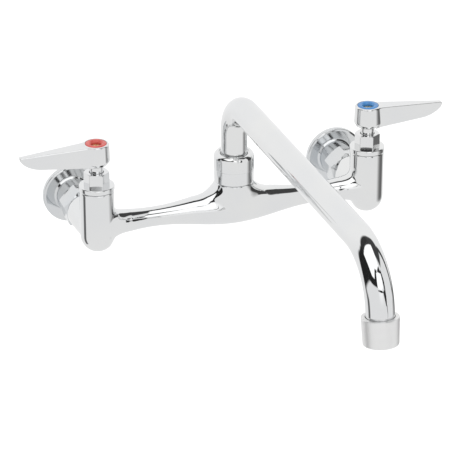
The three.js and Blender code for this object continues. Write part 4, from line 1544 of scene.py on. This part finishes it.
# ------------------------------------------------------------------ studio and camera
def toward(heading: float, height: float) -> Vector:
    """The direction of a heading (degrees from +X towards +Y) and a height above the horizon."""
    a, e = math.radians(heading), math.radians(height)
    return Vector((math.cos(a) * math.cos(e), math.sin(a) * math.cos(e), math.sin(e)))


@dataclass(frozen=True)
class Panel:
    """A panel of the studio that only reflections see: a dark gap or a bright box.

    Its corners are (heading, height) pairs in degrees, in order round a convex outline.
    """

    light: float
    soft: float
    corners: tuple[tuple[float, float], ...]

    def edges(self) -> list[Vector]:
        """The panel's edges, each as the unit normal of its plane, pointing inwards.

        Returns:
            One vector for each edge.
        """
        spots = [toward(*corner) for corner in self.corners]
        middle = sum(spots, Vector())
        normals = []
        for here, there in zip(spots, spots[1:] + spots[:1]):
            normal = here.cross(there).normalized()
            normals.append(normal if normal.dot(middle) > 0 else -normal)
        return normals


def seen_from(
    eye: Corner, facing: Corner, distance: float, outline: list[Corner], upright: float | None = None
) -> tuple[Corner, ...]:
    """Lay an outline of directions on the plane of a flat card.

    Args:
        eye: where the directions start, in millimetres.
        facing: the heading and height that the card faces, in degrees.
        distance: how far its plane lies from the eye, in millimetres.
        outline: the heading and height of each corner, in degrees.
        upright: the Y of an upright plane that the card is pushed on to, if any.

    Returns:
        The corners, in whole millimetres.
    """
    normal = toward(*facing)
    corners = []
    for spot in outline:
        ray = toward(*spot)
        x, y, z = (round(v) for v in Vector(eye) + ray * (distance / ray.dot(normal)))
        corners.append((x, y if upright is None else upright, z))
    return tuple(corners)


def crossing(body_heading: float, bend_heading: float) -> Corner:
    """Where a ray from the body and a ray from the end bend cross, from above.

    Args:
        body_heading: the heading of the ray from the body, in degrees.
        bend_heading: the heading of the ray from the end bend, in degrees.

    Returns:
        The x and y of the crossing, in whole millimetres.
    """
    ray, other = toward(body_heading, 0), toward(bend_heading, 0)
    gap = BEND_SPOT - BODY_SPOT
    spot = BODY_SPOT + ray * (gap.cross(other).z / ray.cross(other).z)
    return round(spot.x), round(spot.y)


@dataclass(frozen=True)
class Card:
    """A card close to the faucet that only reflections see, so that it shifts from part to part.

    Its corners are (x, y, z) in millimetres, in order round a flat convex outline. The softness
    is how far the card fades in from each edge; the first edge joins the first two corners, and
    the last number goes for all further edges.
    """

    name: str
    light: float
    soft: tuple[float, ...]
    corners: tuple[tuple[float, float, float], ...]

    def build(self) -> Piece:
        """Make the card, drawn out corner by corner, with its soft edges.

        Returns:
            The card.
        """
        card = Bench.chain(list(self.corners) + [self.corners[0]])
        Bench.edit(card, "VERT")
        bpy.ops.mesh.remove_doubles(threshold=0.01 * MM)
        bpy.ops.mesh.edge_face_add()
        Bench.rest()
        card.name = self.name
        card.data.materials.append(self.material())
        for sight in ("camera", "diffuse", "transmission", "volume_scatter", "shadow"):
            setattr(card, "visible_" + sight, False)
        return card

    def material(self) -> bpy.types.Material:
        """Light paper whose share fades out over the card's edges.

        Returns:
            The card's material.
        """
        material, recipe = new_material(self.name)
        spots = [Vector(corner) * MM for corner in self.corners]
        middle = sum(spots, Vector()) / len(spots)
        face = (spots[1] - spots[0]).cross(spots[2] - spots[0])
        share: Wire | float = 1.0
        fades = self.soft + self.soft[-1:] * (len(spots) - len(self.soft))
        for here, there, fade in zip(spots, spots[1:] + spots[:1], fades):
            inward = face.cross(there - here).normalized()
            inward = inward if inward.dot(middle - here) > 0 else -inward
            edge = Studio.along(recipe, recipe.place(), inward) - inward.dot(here)
            share = edge.step(0.0, fade * MM) * share
        strength = recipe.noise(3.0, 2.0) * 0.02 + self.light
        glow = recipe.node("ShaderNodeEmission", {}, {"Color": grey(1.0), "Strength": strength})
        clear = recipe.node("ShaderNodeBsdfTransparent")
        mixed = recipe.node("ShaderNodeMixShader", {}, {0: share, 1: clear.out(), 2: glow.out()})
        recipe.node("ShaderNodeOutputMaterial", {}, {"Surface": mixed.out()})
        return material


@dataclass
class Studio:
    """A white tent with soft panels in it, and a pale floor below the faucet."""

    floor_z: float = -260.0
    floor_radius: float = 40000.0
    tent: float = 0.9
    back_glow: float = 0.1
    fill: float = 1.2
    lamp_place: Corner = (-0.5, -1.1, 1.9)
    lamp_aim: Corner = (0.0, -0.15, 0.03)
    lamp_width: float = 1.0
    lamp_depth: float = 0.8
    lamp_energy: float = 9.0
    panels: tuple[Panel, ...] = ()
    cards: tuple[Card, ...] = ()

    def floor(self) -> Piece:
        """The plain pale floor."""
        Bench.rest()
        bpy.ops.mesh.primitive_circle_add(
            vertices=96, radius=self.floor_radius * MM, fill_type="NGON",
            location=(0, 0, self.floor_z * MM),
        )
        floor = Bench.fresh()
        bpy.ops.object.mode_set(mode="EDIT")
        bpy.ops.mesh.inset(thickness=self.floor_radius * 0.3 * MM)
        Bench.rest()
        floor.name = "studio_floor"
        floor.data.materials.append(Paint("pale_floor").material)
        floor.visible_glossy = False
        return floor

    def tent_light(self) -> None:
        """The tent: even light all round, with the panels for reflections alone."""
        world = bpy.data.worlds.new("studio_tent")
        bpy.context.scene.world = world
        world.use_nodes = True
        recipe = Recipe(world.node_tree)
        ray = recipe.node("ShaderNodeTexCoord").out("Generated")
        seen = self.pattern(recipe, ray)
        path = recipe.node("ShaderNodeLightPath")
        even = recipe.node("ShaderNodeBackground", {}, {"Color": grey(1.0), "Strength": self.fill})
        shown = recipe.node("ShaderNodeBackground", {}, {"Color": grey(1.0), "Strength": seen})
        inputs = {0: path.out("Is Glossy Ray"), 1: even.out(), 2: shown.out()}
        mixed = recipe.node("ShaderNodeMixShader", {}, inputs).out()
        recipe.node("ShaderNodeOutputWorld", {}, {"Surface": mixed})

    def pattern(self, recipe: Recipe, ray: Wire) -> Wire:
        """How bright the tent is in each direction.

        Args:
            recipe: the world's tree.
            ray: the direction looked in.

        Returns:
            The brightness.
        """
        level = self.along(recipe, ray, toward(90, 35)).step(0.1, 0.8) * self.back_glow + self.tent
        for panel in self.panels:
            blur = math.sin(math.radians(panel.soft))
            share: Wire | float = 1.0
            for edge in panel.edges():
                share = self.along(recipe, ray, edge).step(-blur, blur) * share
            level = share * (panel.light - level) + level
        return level

    @staticmethod
    def along(recipe: Recipe, ray: Wire, axis: Vector) -> Wire:
        """How far a direction points along an axis."""
        inputs = {0: ray, 1: axis}
        return recipe.node("ShaderNodeVectorMath", {"operation": "DOT_PRODUCT"}, inputs).out("Value")

    def lamp(self) -> None:
        """One large soft lamp above and in front, for the plastic's highlights."""
        Bench.rest()
        bpy.ops.object.light_add(type="AREA", location=self.lamp_place)
        lamp = bpy.context.object
        lamp.name = "soft_lamp"
        lamp.data.shape = "RECTANGLE"
        lamp.data.size = self.lamp_width
        lamp.data.size_y = self.lamp_depth
        lamp.data.energy = self.lamp_energy
        aim = Vector(self.lamp_aim) - lamp.location
        lamp.rotation_euler = aim.to_track_quat("-Z", "Y").to_euler()
        lamp.visible_glossy = False

    def build(self) -> None:
        """Set up the floor, the tent, the lamp, the near cards and the view transform."""
        self.floor()
        self.tent_light()
        self.lamp()
        for card in self.cards:
            card.build()
        bpy.context.scene.view_settings.view_transform = "Standard"
        bpy.context.scene.view_settings.look = "None"


@dataclass
class PhotoCamera:
    """The camera at the photograph's viewing angle."""

    heading_deg: float = -19.08
    height_deg: float = 25.91
    distance: float = 2022.84
    focal_px: float = 2827.93
    frame_px: float = 450.0
    aim_px: tuple[float, float] = (233.83, 209.31)
    sensor: float = 36.0

    def build(self) -> None:
        """Make the camera and aim it so that the valve plane's middle falls on its pixel."""
        a, e = math.radians(self.heading_deg), math.radians(self.height_deg)
        back = Vector((math.sin(a) * math.cos(e), -math.cos(a) * math.cos(e), math.sin(e)))
        right = Vector((math.cos(a), math.sin(a), 0.0))
        up = back.cross(right)
        across = (self.aim_px[0] - self.frame_px / 2) / self.focal_px
        rise = (self.frame_px / 2 - self.aim_px[1]) / self.focal_px
        target = Vector((0, -STANDOFF, 0))
        spot = target - self.distance * (-back + across * right + rise * up)
        Bench.rest()
        bpy.ops.object.camera_add()
        camera = bpy.context.object
        camera.name = "photo_camera"
        turn = Matrix((right, up, back)).transposed().to_4x4()
        camera.matrix_world = Matrix.Translation(spot * MM) @ turn
        camera.data.sensor_width = self.sensor
        camera.data.lens = self.focal_px * self.sensor / self.frame_px
        camera.data.clip_start = 0.05
        camera.data.clip_end = 60.0
        bpy.context.scene.camera = camera


TENT_PANELS = (
    # the brightening towards the boxes, seen along the arms
    Panel(1.2, 14.0, ((-104, 8), (-80, 8), (-80, 45), (-104, 45))),
    # the dark gap on the left with the strip under the large box
    Panel(0.02, 2.0, ((-217, -24), (-192, -7), (-160, 14), (-152, 26), (-198.5, 26))),
    Panel(0.02, 2.0, ((-198, 17), (-160, 16), (-150, 36), (-182, 50), (-198, 50))),
    Panel(0.02, 1.2, ((-172, 10), (-150, 17.5), (-120, 20), (-104, 21), (-101, 50), (-110, 52), (-175, 42))),
    # the dark ceiling at the back, and on the left
    Panel(0.04, 2.5, ((-199, 44.9), (44.6, 65.2), (-11, 75.7), (-60, 79.6), (-120, 76), (-180, 39.5))),
    Panel(0.15, 2.5, ((-210, -14), (-190, -14), (-188, -46), (-210, -46))),
    # the dark ceiling on the right
    Panel(0.06, 3.0, (
        (-62, 42), (-12, 41), (8, 36), (24, 46), (37, 58), (55, 69), (81, 74), (0, 90), (-40, 76),
        (-58, 62),
    )),
    # the large box above the front, and the smaller one beside it
    Panel(1.35, 1.5, ((-182, 39.5), (-145, 31), (-128, 33), (-104, 58), (-70, 84), (-186, 79))),
    Panel(1.35, 1.0, ((-140, 50.5), (-100, 50.5), (-80, 50), (-64, 49), (6, 73.7), (-183.5, 60))),
    Panel(1.35, 1.0, (
        (-112, 31), (-111.5, 23.5), (-92, 23), (-74.5, 22.5), (-68, 25.5), (-64, 31), (-63, 38),
        (-63, 42.5), (-104, 47.5),
    )),
    # the gaps between the boxes
    Panel(0.03, 1.0, ((-104, 46), (-97, 47), (-97, 51.5), (-104, 52))),
    Panel(0.03, 0.8, ((-89, 48.3), (-72, 45), (-60, 42), (-58, 53), (-72, 53.5), (-88, 50))),
)

# The right card's upright edges stand where the body and the end bend see them at these headings,
# so that one card darkens the right of both.
RIGHT_NEAR = crossing(-28, 5)
RIGHT_FAR = crossing(2, 16.5)
LOWER_X = 482
BEND_EYE = (15, -320, 52)
FOOT_EYE = (15, -320, 45)
STRIP_EYE = (12, -318, 55)
WEDGE_FACING = (-62, 12)

# black cards close by: on the right, and in front where the end bend meets its dark wedge
NEAR_CARDS = (
    Card("right_card_upper", 0.05, (15.0, 60.0, 60.0, 22.0), (
        (*RIGHT_NEAR, 411), (*RIGHT_FAR, 865), (*RIGHT_FAR, -190), (*RIGHT_NEAR, -62),
    )),
    Card("right_card_lower", 0.15, (5.0, 120.0, 190.0, 320.0), (
        (LOWER_X, -420, -45), (LOWER_X, 125, -45), (LOWER_X, 125, -360), (LOWER_X, -420, -360),
    )),
    Card("front_card_upper", 0.02, (8.0,), seen_from(BEND_EYE, WEDGE_FACING, 600, [
        (-60.5, 47), (-50, 47), (-48.5, 28), (-53, 16), (-62, 16), (-62, 25),
    ])),
    Card("front_card_middle", 0.02, (8.0,), seen_from(BEND_EYE, WEDGE_FACING, 610, [
        (-75, 17.2), (-66, 20.5), (-53, 18), (-54, 4), (-57, -4), (-62, -4), (-66, 1),
    ])),
    Card("front_card_foot", 0.06, (2.0,), seen_from(FOOT_EYE, (-58, -8), 150, [
        (-62, 0), (-56, 0), (-53.3, -14), (-53.5, -18), (-56, -18), (-60, -6),
    ])),
    Card("front_card_strip", 0.02, (1.2,), seen_from(STRIP_EYE, (-90, 20), 180, [
        (-113, 23.6), (-92, 22.4), (-76, 21.4), (-70, 18.5), (-76, 16.8), (-92, 17.8), (-113, 19.6),
    ], upright=-487)),
)


def main() -> None:
    """Build the faucet piece by piece, then the studio and the camera."""
    logging.basicConfig(level=logging.INFO, format="%(name)s: %(message)s")
    PhotoCamera().build()
    InnerWorks().dress()
    Casting().build()
    for side in Side:
        Inlet(side).build()
        Valve(side).build()
        Handle(side).build()
    Nozzle().build()
    Studio(panels=TENT_PANELS, cards=NEAR_CARDS).build()
    Bench.rest()


if __name__ == "__main__":
    main()
